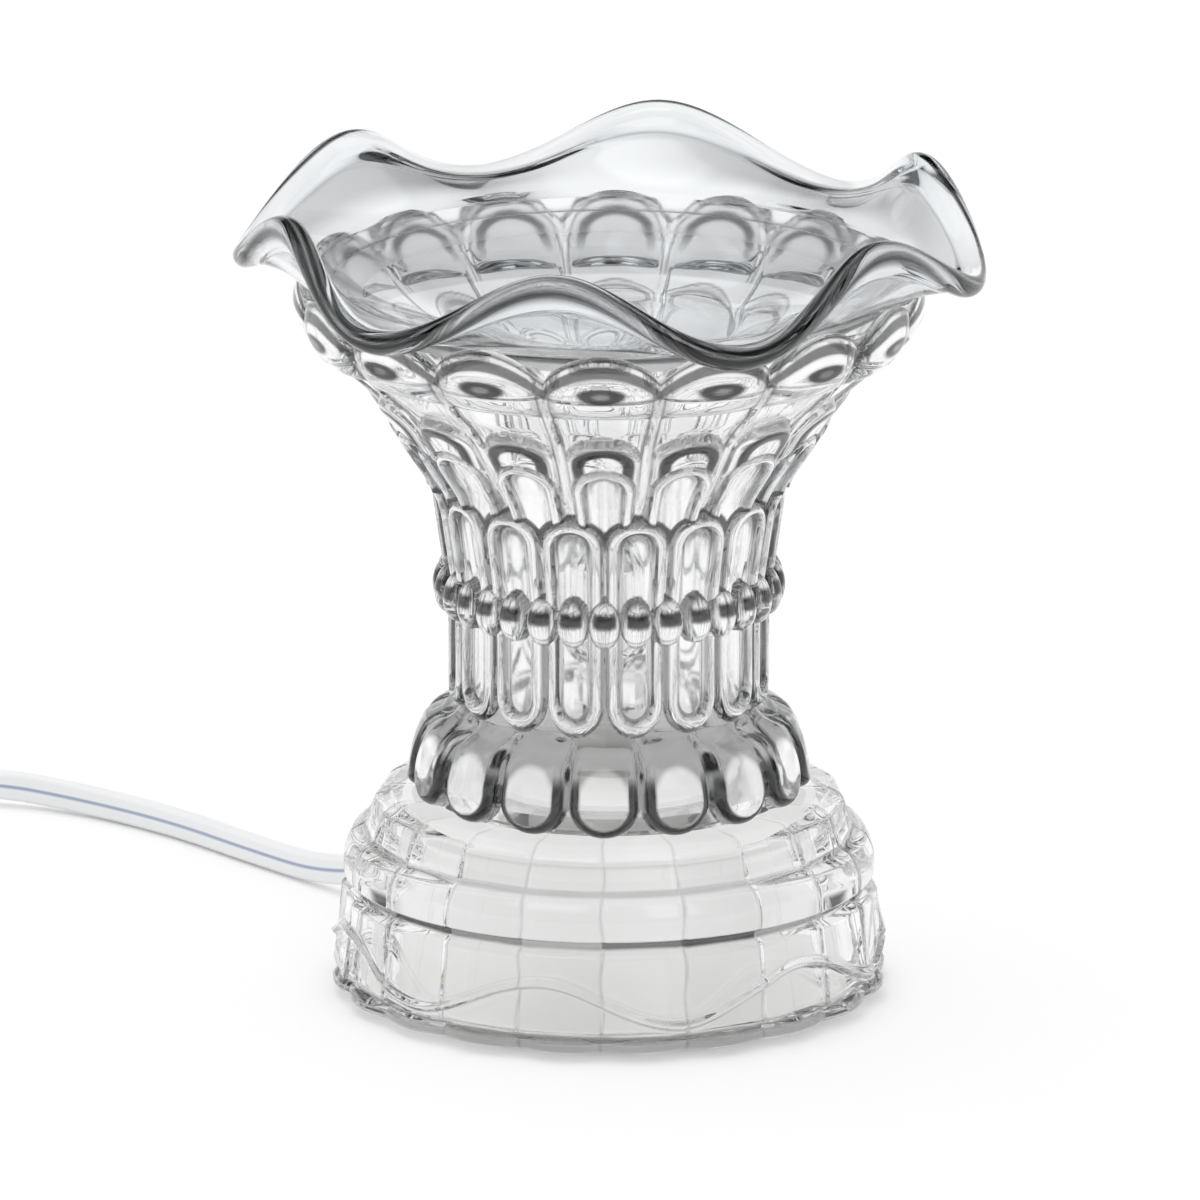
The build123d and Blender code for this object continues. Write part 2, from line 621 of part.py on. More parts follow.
finish_piece(socket_bracket.part, "socket_bracket")

with BuildPart() as bracket_rivets:
    with BuildSketch(bracket_plane):
        with GridLocations(RIVET_SPACING, 0, 2, 1):
            RegularPolygon(RIVET_HEAD_RADIUS, FASTENER_SIDES)
    extrude(amount=-RIVET_HEAD_HEIGHT)
    with BuildSketch(bracket_plane):
        with GridLocations(RIVET_SPACING, 0, 2, 1):
            RegularPolygon(RIVET_RADIUS, FASTENER_SIDES)
    extrude(amount=BRACKET_THICKNESS + LINER_WALL)

finish_piece(bracket_rivets.part, "bracket_rivets")

with BuildPart() as lamp_socket:
    with BuildSketch(socket_plane):
        Rectangle(SOCKET_LENGTH, SOCKET_WIDTH)
    extrude(amount=SOCKET_FLANGE_HEIGHT)
    with BuildSketch(socket_plane):
        neck = Rectangle(NECK_LENGTH, NECK_WIDTH)
        chamfer(neck.vertices(), NECK_CORNER)
    extrude(amount=SOCKET_HEIGHT)
    with BuildSketch(socket_plane.offset(SOCKET_HEIGHT)):
        with GridLocations(PIN_SPACING, 0, 2, 1):
            RegularPolygon(PIN_RADIUS + SLIDE_GAP, FASTENER_SIDES)
    extrude(amount=-PIN_LENGTH - GLASS_GAP, mode=Mode.SUBTRACT)
    with BuildSketch(socket_plane):
        with GridLocations(SOCKET_SCREW_SPACING, 0, 2, 1):
            RegularPolygon(SCREW_RADIUS + FIT_GAP, FASTENER_SIDES)
    extrude(amount=SOCKET_SCREW_LENGTH, mode=Mode.SUBTRACT)

finish_piece(lamp_socket.part, "lamp_socket")

with BuildPart() as socket_screws:
    with BuildSketch(bracket_plane):
        with GridLocations(SOCKET_SCREW_SPACING, 0, 2, 1):
            RegularPolygon(SCREW_HEAD_RADIUS, FASTENER_SIDES)
    extrude(amount=-SCREW_HEAD_HEIGHT)
    with BuildSketch(bracket_plane):
        with GridLocations(SOCKET_SCREW_SPACING, 0, 2, 1):
            RegularPolygon(SCREW_RADIUS, FASTENER_SIDES)
    extrude(amount=SOCKET_SCREW_LENGTH)

finish_piece(socket_screws.part, "socket_screws")

# White plate on the boss that closes the base round the socket
with BuildPart() as heat_plate:
    with BuildSketch(Plane.XY.offset(BASE_TOP + BOSS_HEIGHT)):
        Circle(HEAT_PLATE_RADIUS)
        Circle(NECK_LENGTH / 2 + NECK_CORNER, mode=Mode.SUBTRACT)
    extrude(amount=HEAT_PLATE_THICKNESS)

finish_piece(heat_plate.part, "heat_plate")

# Plug-in lamp: pinched glass capsule, its filament and its pins
bulb_foot = LAMP_FOOT + PINCH_HEIGHT
bulb_top = bulb_foot + CAPSULE_HEIGHT
cavity_foot = bulb_foot + CAPSULE_WALL
cavity_radius = CAPSULE_RADIUS - CAPSULE_WALL
lamp_plane = Plane((0, 0, LAMP_FOOT)).rotated((0, 0, BRACKET_TURN))

bulb_outside = (
    (CAPSULE_RADIUS / 2, bulb_foot - CAPSULE_WALL),
    (CAPSULE_RADIUS, bulb_foot + CAPSULE_RADIUS / 2),
    (CAPSULE_RADIUS, bulb_top - CAPSULE_RADIUS),
    (CAPSULE_RADIUS * cos(radians(40)), bulb_top - CAPSULE_RADIUS * (1 - sin(radians(40)))),
    (CAPSULE_RADIUS / 3, bulb_top),
)
bulb_inside = (
    (CAPSULE_RADIUS / 4, cavity_foot),
    (cavity_radius, cavity_foot + CAPSULE_RADIUS / 2),
    (cavity_radius, bulb_top - CAPSULE_RADIUS),
    (cavity_radius / 2, bulb_top - 2 * CAPSULE_WALL),
)

with BuildPart() as lamp_capsule:
    add(faceted_solid([level_ring(radius, CAPSULE_SIDES, 0, level) for radius, level in bulb_outside]))
    with BuildSketch(lamp_plane):
        Rectangle(PINCH_WIDTH, PINCH_DEPTH)
    extrude(amount=PINCH_HEIGHT)
    add(
        faceted_solid([level_ring(radius, CAPSULE_SIDES, 0, level) for radius, level in bulb_inside]),
        mode=Mode.SUBTRACT,
    )

finish_piece(lamp_capsule.part, "lamp_capsule")

with BuildPart() as lamp_filament:
    filament_half = FILAMENT_WIDTH / 2
    filament_share = (filament_half + FILAMENT_RADIUS) / (cavity_radius * cos(pi / CAPSULE_SIDES))
    filament_foot = PINCH_HEIGHT + CAPSULE_WALL + CAPSULE_RADIUS / 2 * filament_share
    filament_plane = Plane((0, 0, LAMP_FOOT), x_dir=lamp_plane.x_dir, z_dir=lamp_plane.y_dir * -1)
    with BuildLine(filament_plane) as filament_line:
        FilletPolyline(
            (-filament_half, filament_foot),
            (-filament_half, filament_foot + FILAMENT_HEIGHT),
            (filament_half, filament_foot + FILAMENT_HEIGHT),
            (filament_half, filament_foot),
            radius=FILAMENT_WIDTH / 3,
        )
    with BuildSketch(lamp_plane.offset(filament_foot)):
        with Locations((-filament_half, 0)):
            RegularPolygon(FILAMENT_RADIUS, 4)
    sweep(path=filament_line.line)

finish_piece(lamp_filament.part, "lamp_filament")

with BuildPart() as lamp_pins:
    with BuildSketch(lamp_plane):
        with GridLocations(PIN_SPACING, 0, 2, 1):
            RegularPolygon(PIN_RADIUS, FASTENER_SIDES)
    extrude(amount=-PIN_LENGTH)

finish_piece(lamp_pins.part, "lamp_pins")

# Strain relief: collar in its seat, shank through glass and liner, sleeve tapering onto the cord
sleeve_half_width = CORD_THICKNESS / 2 + SLEEVE_WALL
sleeve_half_height = CORD_WIDTH / 2 + SLEEVE_WALL
relief_tip = collar_seat.offset(RELIEF_COLLAR_THICKNESS + RELIEF_LENGTH)

with BuildPart() as strain_relief:
    with BuildSketch(collar_seat):
        Circle(RELIEF_COLLAR_RADIUS)
    extrude(amount=RELIEF_COLLAR_THICKNESS)
    with BuildSketch(collar_seat):
        Circle(RELIEF_RADIUS)
    extrude(amount=-RELIEF_SHANK)
    with BuildSketch(collar_seat.offset(RELIEF_COLLAR_THICKNESS)):
        with BuildLine():
            Polyline(*oval_outline(RELIEF_RADIUS, RELIEF_RADIUS * 1.1), close=True)
        make_face()
    with BuildSketch(relief_tip):
        with BuildLine():
            Polyline(*oval_outline(sleeve_half_width, sleeve_half_height), close=True)
        make_face()
    loft(ruled=True)

finish_piece(strain_relief.part, "strain_relief")

# The cord's two cores run straight into staggered splices, and a wire from each rises to the socket
shank_end = collar_seat.offset(-RELIEF_SHANK)
core_starts = [
    shank_end.from_local_coords(Vector(-CORE_SPACING / 2, 0, 0)),
    shank_end.from_local_coords(Vector(CORE_SPACING / 2, 0, 0)),
]
core_lengths = [SPLICE_START, SPLICE_START + SPLICE_LENGTH + CORE_SPACING / 2]

with BuildPart() as supply_leads:
    for core_start, core_length in zip(core_starts, core_lengths):
        with BuildSketch(Plane(core_start, x_dir=exit_side, z_dir=exit_out * -1)):
            RegularPolygon(CORE_RADIUS, FASTENER_SIDES)
        extrude(amount=core_length)

finish_piece(supply_leads.part, "supply_leads")

with BuildPart() as wire_splices:
    for core_start, core_length in zip(core_starts, core_lengths):
        with BuildSketch(Plane(core_start - exit_out * core_length, x_dir=exit_side, z_dir=exit_out * -1)):
            RegularPolygon(SPLICE_RADIUS, FASTENER_SIDES)
        extrude(amount=SPLICE_LENGTH)

finish_piece(wire_splices.part, "wire_splices")

socket_edge = BRACKET_WIDTH / 2 + CORE_RADIUS + SLIDE_GAP

with BuildPart() as socket_leads:
    for core_start, core_length in zip(core_starts, core_lengths):
        splice_end = core_start - exit_out * (core_length + SPLICE_LENGTH)
        core_reach = Vector(core_start.X, core_start.Y, 0).dot(Vector(exit_out.X, exit_out.Y, 0).normalized())
        bend_at = core_start - exit_out * ((core_reach - socket_edge) / cos(radians(CORD_EXIT_SLOPE)))
        rise_top = Vector(bend_at.X, bend_at.Y, BRACKET_TOP)
        with BuildLine() as lead_wire:
            FilletPolyline(splice_end, bend_at, rise_top, radius=CORE_RADIUS * 2)
        with BuildSketch(Plane(splice_end, x_dir=exit_side, z_dir=exit_out * -1)):
            RegularPolygon(CORE_RADIUS, FASTENER_SIDES)
        sweep(path=lead_wire.line)

finish_piece(socket_leads.part, "socket_leads")

# In-line switch: two shells, a thumbwheel on its axle, screws and cord sleeves
switch_x, switch_y = SWITCH_PLACE
wheel_y = switch_y - SWITCH_WIDTH / 2 + WHEEL_RADIUS - WHEEL_PROUD
wheel_foot = SWITCH_LOWER_HEIGHT + SWITCH_WALL

with BuildPart() as switch_lower:
    with BuildSketch(Plane((switch_x, switch_y, 0))):
        RectangleRounded(SWITCH_LENGTH, SWITCH_WIDTH, SWITCH_CORNER)
        with GridLocations(SWITCH_SCREW_SPACING, 0, 2, 1):
            RegularPolygon(SCREW_RADIUS + FIT_GAP, FASTENER_SIDES, mode=Mode.SUBTRACT)
    extrude(amount=SWITCH_LOWER_HEIGHT)
    with BuildSketch(Plane((switch_x, switch_y, 0))):
        with GridLocations(SWITCH_SCREW_SPACING, 0, 2, 1):
            RegularPolygon(SCREW_HEAD_RADIUS + FIT_GAP, FASTENER_SIDES)
    extrude(amount=2 * SCREW_HEAD_HEIGHT, mode=Mode.SUBTRACT)
    with BuildSketch(Plane((switch_x, wheel_y, SWITCH_LOWER_HEIGHT))):
        Circle(AXLE_SHOULDER_RADIUS)
    extrude(amount=SWITCH_WALL - GLASS_GAP)
    with BuildSketch(Plane((switch_x, wheel_y, SWITCH_LOWER_HEIGHT))):
        Circle(AXLE_RADIUS)
    extrude(amount=SWITCH_WALL + WHEEL_THICKNESS)

finish_piece(switch_lower.part, "switch_lower")

with BuildPart() as switch_upper:
    with BuildSketch(Plane((switch_x, switch_y, SWITCH_LOWER_HEIGHT))):
        RectangleRounded(SWITCH_LENGTH, SWITCH_WIDTH, SWITCH_CORNER)
    extrude(amount=SWITCH_UPPER_HEIGHT)
    chamfer(switch_upper.faces().sort_by(Axis.Z)[-1].edges(), SWITCH_WALL)
    with BuildSketch(Plane((switch_x, switch_y, SWITCH_LOWER_HEIGHT))):
        with GridLocations(SWITCH_SCREW_SPACING, 0, 2, 1):
            RegularPolygon(SCREW_RADIUS + FIT_GAP, FASTENER_SIDES)
    extrude(amount=SWITCH_SCREW_LENGTH - SWITCH_LOWER_HEIGHT + 2 * SCREW_HEAD_HEIGHT, mode=Mode.SUBTRACT)
    # Pocket for the wheel and the shoulder it turns on
    with BuildSketch(Plane((switch_x, wheel_y, SWITCH_LOWER_HEIGHT))):
        Circle(AXLE_SHOULDER_RADIUS + FIT_GAP)
    extrude(amount=SWITCH_WALL, mode=Mode.SUBTRACT)
    with BuildSketch(Plane((switch_x, wheel_y, wheel_foot - SLIDE_GAP))):
        Circle(WHEEL_RADIUS + SLIDE_GAP)
    extrude(amount=WHEEL_THICKNESS + 2 * SLIDE_GAP, mode=Mode.SUBTRACT)

finish_piece(switch_upper.part, "switch_upper")

with BuildPart() as switch_wheel:
    with BuildSketch(Plane((switch_x, wheel_y, wheel_foot))):
        Circle(WHEEL_RADIUS)
        with PolarLocations(WHEEL_RADIUS, WHEEL_NOTCHES):
            RegularPolygon(WHEEL_NOTCH_RADIUS, 4, mode=Mode.SUBTRACT)
        Circle(AXLE_RADIUS + SLIDE_GAP, mode=Mode.SUBTRACT)
    extrude(amount=WHEEL_THICKNESS)

finish_piece(switch_wheel.part, "switch_wheel")

with BuildPart() as switch_screws:
    with BuildSketch(Plane((switch_x, switch_y, SCREW_HEAD_HEIGHT))):
        with GridLocations(SWITCH_SCREW_SPACING, 0, 2, 1):
            RegularPolygon(SCREW_HEAD_RADIUS, FASTENER_SIDES)
    extrude(amount=SCREW_HEAD_HEIGHT)
    with BuildSketch(Plane((switch_x, switch_y, 2 * SCREW_HEAD_HEIGHT))):
        with GridLocations(SWITCH_SCREW_SPACING, 0, 2, 1):
            RegularPolygon(SCREW_RADIUS, FASTENER_SIDES)
    extrude(amount=SWITCH_SCREW_LENGTH)

finish_piece(switch_screws.part, "switch_screws")

with BuildPart() as switch_sleeves:
    for way in (1, -1):
        sleeve_place = (switch_x + way * SWITCH_LENGTH / 2, switch_y, SWITCH_LOWER_HEIGHT)
        sleeve_root = Plane(sleeve_place, x_dir=(0, 1, 0), z_dir=(way, 0, 0))
        with BuildSketch(sleeve_root):
            with BuildLine():
                Polyline(*oval_outline(SLEEVE_ROOT_RADIUS, SLEEVE_ROOT_RADIUS), close=True)
            make_face()
        with BuildSketch(sleeve_root.offset(SLEEVE_LENGTH)):
            with BuildLine():
                Polyline(*oval_outline(sleeve_half_width, sleeve_half_height), close=True)
            make_face()
        loft(ruled=True)

finish_piece(switch_sleeves.part, "switch_sleeves")

# Flat cord: it stands on edge, swept along straight runs and tangent arcs
cord_area = CORD_THICKNESS * CORD_WIDTH


def cord_plane(point, along):
    """Plane across the cord, with its x level and its y up."""
    return Plane(point, x_dir=Vector(0, 0, 1).cross(along), z_dir=along)


def bend_radii(points):
    """Radius for each corner of a route, as large as its two runs allow."""
    radii = []
    for before, corner, after in zip(points, points[1:], points[2:]):
        turn = (corner - before).get_angle(after - corner)
        radii.append(0.45 * min((corner - before).length, (after - corner).length) / tan(radians(turn) / 2))
    return radii


lead_start = relief_tip.origin
lead_points = [
    lead_start,
    lead_start + exit_out * CORD_FIRST_RUN,
    Vector(-68.5, 78.5, CORD_LIE),
    Vector(-84.5, 98.0, CORD_LIE),
    Vector(-102.5, 113.6, CORD_LIE),
    Vector(-121.0, switch_y, SWITCH_LOWER_HEIGHT),
    Vector(switch_x + SWITCH_LENGTH / 2 + SLEEVE_LENGTH, switch_y, SWITCH_LOWER_HEIGHT),
]
lead_radii = bend_radii(lead_points)

with BuildPart() as cord_lead:
    with BuildLine() as lead_line:
        FilletPolyline(*lead_points, radius=lead_radii)
    with BuildSketch(cord_plane(lead_start, exit_out)):
        Rectangle(CORD_THICKNESS, CORD_WIDTH)
    sweep(path=lead_line.line)

finish_piece(cord_lead.part, "cord_lead")
lead_length = lead_line.wire().length
print("lead radii", [round(radius, 1) for radius in lead_radii], "length", round(lead_length, 1))
print("lead volume", round(cord_lead.part.volume, 1), "section by length", round(cord_area * lead_length, 1))

# Coil: spirals in on the lower layer, climbs where it turns back, spirals out on the upper layer
half_turns = COIL_TURNS + 0.25
coil_start_radius = COIL_RADIUS + COIL_PITCH * half_turns / 2
tail_start = Vector(switch_x - SWITCH_LENGTH / 2 - SLEEVE_LENGTH, switch_y, SWITCH_LOWER_HEIGHT)
coil_start = tail_start - Vector(COIL_TAIL, 0, 0)
coil_x = coil_start.X
coil_y = coil_start.Y - coil_start_radius


def coil_place(turns):
    """Point on the coil after this many turns, and the direction of the cord there."""
    angle = pi / 2 + 2 * pi * turns
    radius = coil_start_radius - COIL_PITCH * (half_turns - abs(half_turns - turns))
    climb = min(max((turns - COIL_TURNS) * 2, 0), 1)
    level = COIL_LIE + COIL_LAYER * (1 - cos(pi * climb)) / 2
    drift = -COIL_PITCH / (2 * pi) if turns < half_turns else COIL_PITCH / (2 * pi)
    if turns in (0, half_turns, 2 * half_turns):
        drift = 0
    slope = COIL_LAYER * sin(pi * climb) / 2
    point = Vector(coil_x + radius * cos(angle), coil_y + radius * sin(angle), level)
    along = Vector(
        drift * cos(angle) - radius * sin(angle), drift * sin(angle) + radius * cos(angle), slope
    )
    return point, along.normalized()


def biarc(start, start_along, end, end_along):
    """Two tangent arcs from one point and direction to another, as edges of the open line."""
    chord = end - start
    both = start_along + end_along
    spread = 2 * (1 - start_along.dot(end_along))
    reach = (-chord.dot(both) + sqrt(chord.dot(both) ** 2 + spread * chord.dot(chord))) / spread
    joint = (start + end + (start_along - end_along) * reach) * 0.5
    joint_along = (end - end_along * reach) - (start + start_along * reach)
    TangentArc(start, joint, tangent=start_along)
    TangentArc(joint, end, tangent=joint_along)


quarter_turns = int(8 * half_turns)
coil_nodes = [coil_place(quarter / 4) for quarter in range(quarter_turns + 1)]
coil_end, coil_end_along = coil_nodes[-1]

with BuildPart() as cord_coil:
    with BuildLine() as coil_line:
        Line(tail_start, coil_start)
        for (node, node_along), (next_node, next_along) in zip(coil_nodes, coil_nodes[1:]):
            biarc(node, node_along, next_node, next_along)
        Line(coil_end, coil_end + coil_end_along * COIL_LEAD)
    with BuildSketch(cord_plane(tail_start, coil_start - tail_start)):
        Rectangle(CORD_THICKNESS, CORD_WIDTH)
    sweep(path=coil_line.line)

finish_piece(cord_coil.part, "cord_coil")

samples_per_turn = 60
sample_count = int(2 * half_turns * samples_per_turn) + 1
coil_samples = [coil_place(sample / samples_per_turn)[0] for sample in range(sample_count)]
side_gap = min(
    dist((a.X, a.Y), (b.X, b.Y)) - CORD_THICKNESS
    for index, a in enumerate(coil_samples)
    for b in coil_samples[index + samples_per_turn // 2:]
    if abs(a.Z - b.Z) < CORD_WIDTH
)
layer_gap = COIL_LAYER - CORD_WIDTH
print("coil gap beside", round(side_gap, 2), "gap between layers", round(layer_gap, 2))
coil_length = coil_line.wire().length
print("coil length", round(coil_length, 1))
print("coil volume", round(cord_coil.part.volume, 1), "section by length", round(cord_area * coil_length, 1))

# Band round the coil's turns, on the side away from the base
coil_inner = coil_start_radius - COIL_PITCH * half_turns - CORD_THICKNESS / 2 - 2 * SLIDE_GAP
coil_outer = coil_start_radius + CORD_THICKNESS / 2 + SLIDE_GAP
tie_low = COIL_LIE - CORD_WIDTH / 2 - GLASS_GAP
tie_high = COIL_LIE + COIL_LAYER + CORD_WIDTH / 2 + GLASS_GAP

tie_span = coil_outer - coil_inner
tie_rise = tie_high - tie_low

with BuildPart() as coil_tie:
    with BuildSketch(Plane.XZ.offset(-coil_y)):
        with Locations((coil_x - (coil_inner + coil_outer) / 2, (tie_low + tie_high) / 2)):
            Rectangle(tie_span + 2 * TIE_THICKNESS, tie_rise + 2 * TIE_THICKNESS)
            Rectangle(tie_span, tie_rise, mode=Mode.SUBTRACT)
    extrude(amount=TIE_WIDTH / 2, both=True)

finish_piece(coil_tie.part, "coil_tie")

# Two-pin plug on the end of the cord
plug_plane = cord_plane(coil_end + coil_end_along * COIL_LEAD, coil_end_along)
plug_body_plane = plug_plane.offset(PLUG_RELIEF_LENGTH)
plug_height = 2 * (COIL_LIE + COIL_LAYER) - GLASS_GAP

with BuildPart() as plug_body:
    with BuildSketch(plug_plane):
        with BuildLine():
            Polyline(*oval_outline(sleeve_half_width, sleeve_half_height), close=True)
        make_face()
    with BuildSketch(plug_body_plane):
        with BuildLine():
            Polyline(*oval_outline(PLUG_WIDTH / 4, plug_height / 4), close=True)
        make_face()
    loft(ruled=True)
    with BuildSketch(plug_body_plane):
        RectangleRounded(PLUG_WIDTH, plug_height, PLUG_CORNER)
    extrude(amount=PLUG_LENGTH)
    chamfer(plug_body.faces().sort_by(Axis.X)[-1].edges(), PLUG_CORNER / 4)

finish_piece(plug_body.part, "plug_body")

with BuildPart() as plug_blades:
    with BuildSketch(plug_body_plane.offset(PLUG_LENGTH)):
        with GridLocations(BLADE_SPACING, 0, 2, 1):
            Rectangle(BLADE_THICKNESS, BLADE_WIDTH)
    extrude(amount=BLADE_LENGTH)
    chamfer(plug_blades.edges().filter_by(Axis.Y).group_by(Axis.X)[-1], BLADE_THICKNESS * 0.4)
    with BuildSketch(Plane.XZ.offset(-coil_end.Y)):
        with Locations((plug_body_plane.origin.X + PLUG_LENGTH + BLADE_LENGTH * 0.75, coil_end.Z)):
            Circle(BLADE_HOLE_RADIUS)
    extrude(amount=PLUG_WIDTH, both=True, mode=Mode.SUBTRACT)

finish_piece(plug_blades.part, "plug_blades")
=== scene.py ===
"""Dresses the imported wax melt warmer: clear pressed glass, white fittings and a flat white cord.

Shapes are worked out in millimetres in the part's own frame and made in metres.
"""
import json
from functools import reduce
from math import cos, pi, radians, sin

import bpy
import numpy as np
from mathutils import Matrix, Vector


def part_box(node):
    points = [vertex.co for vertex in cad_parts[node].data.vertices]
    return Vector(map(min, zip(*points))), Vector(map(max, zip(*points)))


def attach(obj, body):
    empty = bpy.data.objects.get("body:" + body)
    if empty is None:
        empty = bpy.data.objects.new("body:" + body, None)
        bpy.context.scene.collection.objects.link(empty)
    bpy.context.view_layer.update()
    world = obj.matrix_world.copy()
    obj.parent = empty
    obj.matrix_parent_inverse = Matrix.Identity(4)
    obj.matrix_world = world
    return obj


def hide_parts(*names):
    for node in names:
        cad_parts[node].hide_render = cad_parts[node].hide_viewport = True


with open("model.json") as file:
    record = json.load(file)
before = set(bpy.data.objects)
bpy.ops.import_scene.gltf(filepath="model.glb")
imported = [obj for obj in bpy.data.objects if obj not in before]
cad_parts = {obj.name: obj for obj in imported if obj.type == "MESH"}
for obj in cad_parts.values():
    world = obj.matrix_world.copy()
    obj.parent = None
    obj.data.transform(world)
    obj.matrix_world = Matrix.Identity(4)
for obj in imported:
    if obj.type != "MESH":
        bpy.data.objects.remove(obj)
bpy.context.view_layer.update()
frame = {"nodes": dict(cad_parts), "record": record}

MM = 0.001

# Camera, as the photograph was taken
PHOTO_SIZE = 1200  # pixels each way
PHOTO_SCALE = 5.25  # pixels for each millimetre of the part
CAMERA_AIM = (-1.7, 0.0, 76.1)  # point of the part in the middle of the picture
CAMERA_DISTANCE = 5000.0
CAMERA_ELEVATION = 16.0
CAMERA_REACH = 100.0  # metres
SENSOR_WIDTH = 36.0

# Studio, in metres: pale floor, even dome, key light above, behind and to the left
FLOOR_FRONT, FLOOR_BACK, FLOOR_HALF_WIDTH = -0.4, 1.6, 0.55
FLOOR_GLOW = 0.07  # added where it is looked at, so that it shows white
DOME_LIGHT = 0.88
KEY_POWER = 17.0
KEY_SIZE = 1.6
KEY_PLACE = (-0.5, 0.7, 2.6)
KEY_AIM = (0.0, 0.0, 0.05)
GLASS_BOUNCES = 28  # the sight line crosses many walls of glass
GLOSSY_BOUNCES = 10
SHADOW_BOUNCES = 40

# What clear and bright pieces see: soft boxes among dark flags, the brighter where two overlap
BOX_SIZES = ("Box Round", "Box Up", "Half Width", "Half Height", "Softness")  # degrees, round from the back
FLAG_BRIGHTNESS = 0.02
BOX_COLOR = (0.97, 0.985, 1.0)
SOFT_BOXES = (  # sizes and strength
    (0, -45, 180, 49, 8, 0.97),  # all round, below the horizon
    (0, -6, 30, 20, 12, 1.0),  # behind
    (-78, 20, 12, 40, 8, 0.95),  # left
    (80, 20, 10, 40, 8, 0.9),  # right
    (-150, 48, 14, 10, 10, 1.6),  # high in front, left
    (150, 38, 8, 14, 8, 1.4),  # high in front, right
    (0, 90, 180, 22, 20, 0.55),  # overhead
)

# Surfaces
POLISH_SPREAD = 0.2  # share by which a plain surface's polish varies
GLASS_IOR = 1.54
TINT_SPREAD = 0.015  # how much the glass's colour varies
SHARP_ANGLE = 50.0  # edges that turn by more stay sharp
FITTING_SHARP_ANGLE = 35.0

# Pressed shade: heights above its foot, as in the solids
PETALS = 16
PITCH = 360 / PETALS
FRONT_TURN = -1.5  # degrees that the pattern is turned from the front
COLUMN_TURN = FRONT_TURN - 90  # middle of a column of petals
BETWEEN_TURN = COLUMN_TURN + PITCH / 2
SHADE_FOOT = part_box("glass_shade")[0][2] / MM
SHADE_WALL = 4.0
SHADE_STATIONS = (
    (0.0, 35.2), (9.4, 34.0), (17.4, 28.0), (37.4, 28.0), (62.0, 31.6),
    (79.0, 43.0), (86.6, 51.8), (92.6, 56.6), (110.0, 56.6),
)
BEND_ROUNDING = 3.2  # how far up and down the wall's bends are rounded
SEAT_HEIGHT = 97.4
LIP_HEIGHT = 92.6
LIP_ROUNDING = 0.6
MOUTH_RADIUS = 52.6
LEDGE_WIDTH = 4.8  # from the mouth to the crown's inside
NOTCH_LEDGE = 0.6  # the same where two tips meet
EDGE_ROUNDING = 0.7  # on top of the crown's edge
CUP_FOOT = 76.0  # lowest height whose inside is seen through the mouth
SHADE_COLUMNS, SHADE_ROWS = 800, 330
MOUTH_ROWS, CUP_ROWS, BORE_ROWS = 24, 40, 60

# Crown, and the flutes and ribs of the flare below it
CROWN_ROOT, CROWN_RIDGE, CROWN_TIP, CROWN_RELIEF = 87.0, 94.6, 100.0, 3.6
CROWN_NOTCH = 94.0  # where the crown's arched tips meet
CROWN_CLOSE = CROWN_TIP + 2.5  # where its swell would close, above the edge
LENS_HEIGHT, LENS_HALF_WIDTH, LENS_HALF_HEIGHT = CROWN_TIP - 6.4, 4.8, 1.5
FLARE_START, FLARE_FULL = 60.0, 68.0
FLUTE_DEPTH, FLUTE_FADE, FLUTE_END = 1.0, 86.0, 90.0
RIB_RELIEF, RIB_WIDTH, RIB_FADE, RIB_END = 1.2, 1.0, 90.0, 95.0

# Rows of petals: root and tip, share of the pitch, length of the arch against its half width
CAP_OUTLINE = (50.0, 81.2, 0.88, 0.95)  # cap over each collar petal
CAP_RELIEF, CAP_FLANK = 2.3, 2.4
COLLAR_OUTLINE = (50.0, 75.0, 0.8, 1.0)
COLLAR_RELIEF, COLLAR_STEP, COLLAR_BAND, COLLAR_PANEL = 3.0, 0.7, 1.3, 0.25
HIGH_ARCH_OUTLINE = (41.0, 61.4, 0.95, 1.05)
LOW_ARCH_OUTLINE = (40.0, 17.4, 0.95, 1.25)
ARCH_RELIEF, ARCH_BAND, ARCH_PANEL = 2.6, 1.45, 0.3
FOOT_PETAL_ROOT = 19.0
FOOT_PETAL_OUTLINE = (FOOT_PETAL_ROOT, -0.3, 0.97, 0.9)
FOOT_PETAL_RELIEF, FOOT_PETAL_FLANK = 3.6, 2.6
BULB_HEIGHT, BULB_HALF_WIDTH, BULB_HALF_HEIGHT = 5.6, 4.6, 5.4  # clear bulb in each foot petal
BEADS, BEAD_HEIGHT, BEAD_CIRCLE = 32, 40.6, 30.6
BEAD_HALF_WIDTH, BEAD_HALF_LENGTH = 3.05, 4.9

# Painted shade in the glass, standing in for the light that pressed glass turns aside: 0 is clear and 1 is
# darkest
PAINTED_SHADE_COLOR = 0.003  # colour of the darkest painted shade in the glass
FAR_SIDE_SHARE = 0.06  # how much of the painted shade shows from inside the glass
TONE_SWING = 0.11  # how far middle tones of the painted shade are moved apart
FLANK_DARK, FLAT_SLOPE, STEEP_SLOPE = 0.58, 0.6, 2.0
OUTLINE_DARK, OUTLINE_WIDTH, OUTLINE_SOFTNESS = 0.6, 0.45, 0.2
FRAME_DARK, FRAME_TIP_DARK, CRESCENT_DARK = 0.35, 0.4, 0.55
LENS_DARK, LENS_HEART = 0.95, 0.3
CROWN_BAND_DARK, CROWN_SIDE_DARK, CROWN_FOOT_DARK, CROWN_EDGE_DARK = 0.7, 0.35, 0.75, 0.75
CROWN_TOP_DARK = 0.55
CROWN_DOME = (88.5, 11.5, 0.85)  # a petal seen from inside: foot, reach and painted shade
COLLAR_DOME = (78.0, 8.0, 0.5)
DOME_COVER, DOME_DARK, DOME_LINE_DARK = 0.96, 0.22, 0.6
RIB_DARK = 0.65
CAP_DARK, CAP_LINE_DARK = 0.94, 0.45
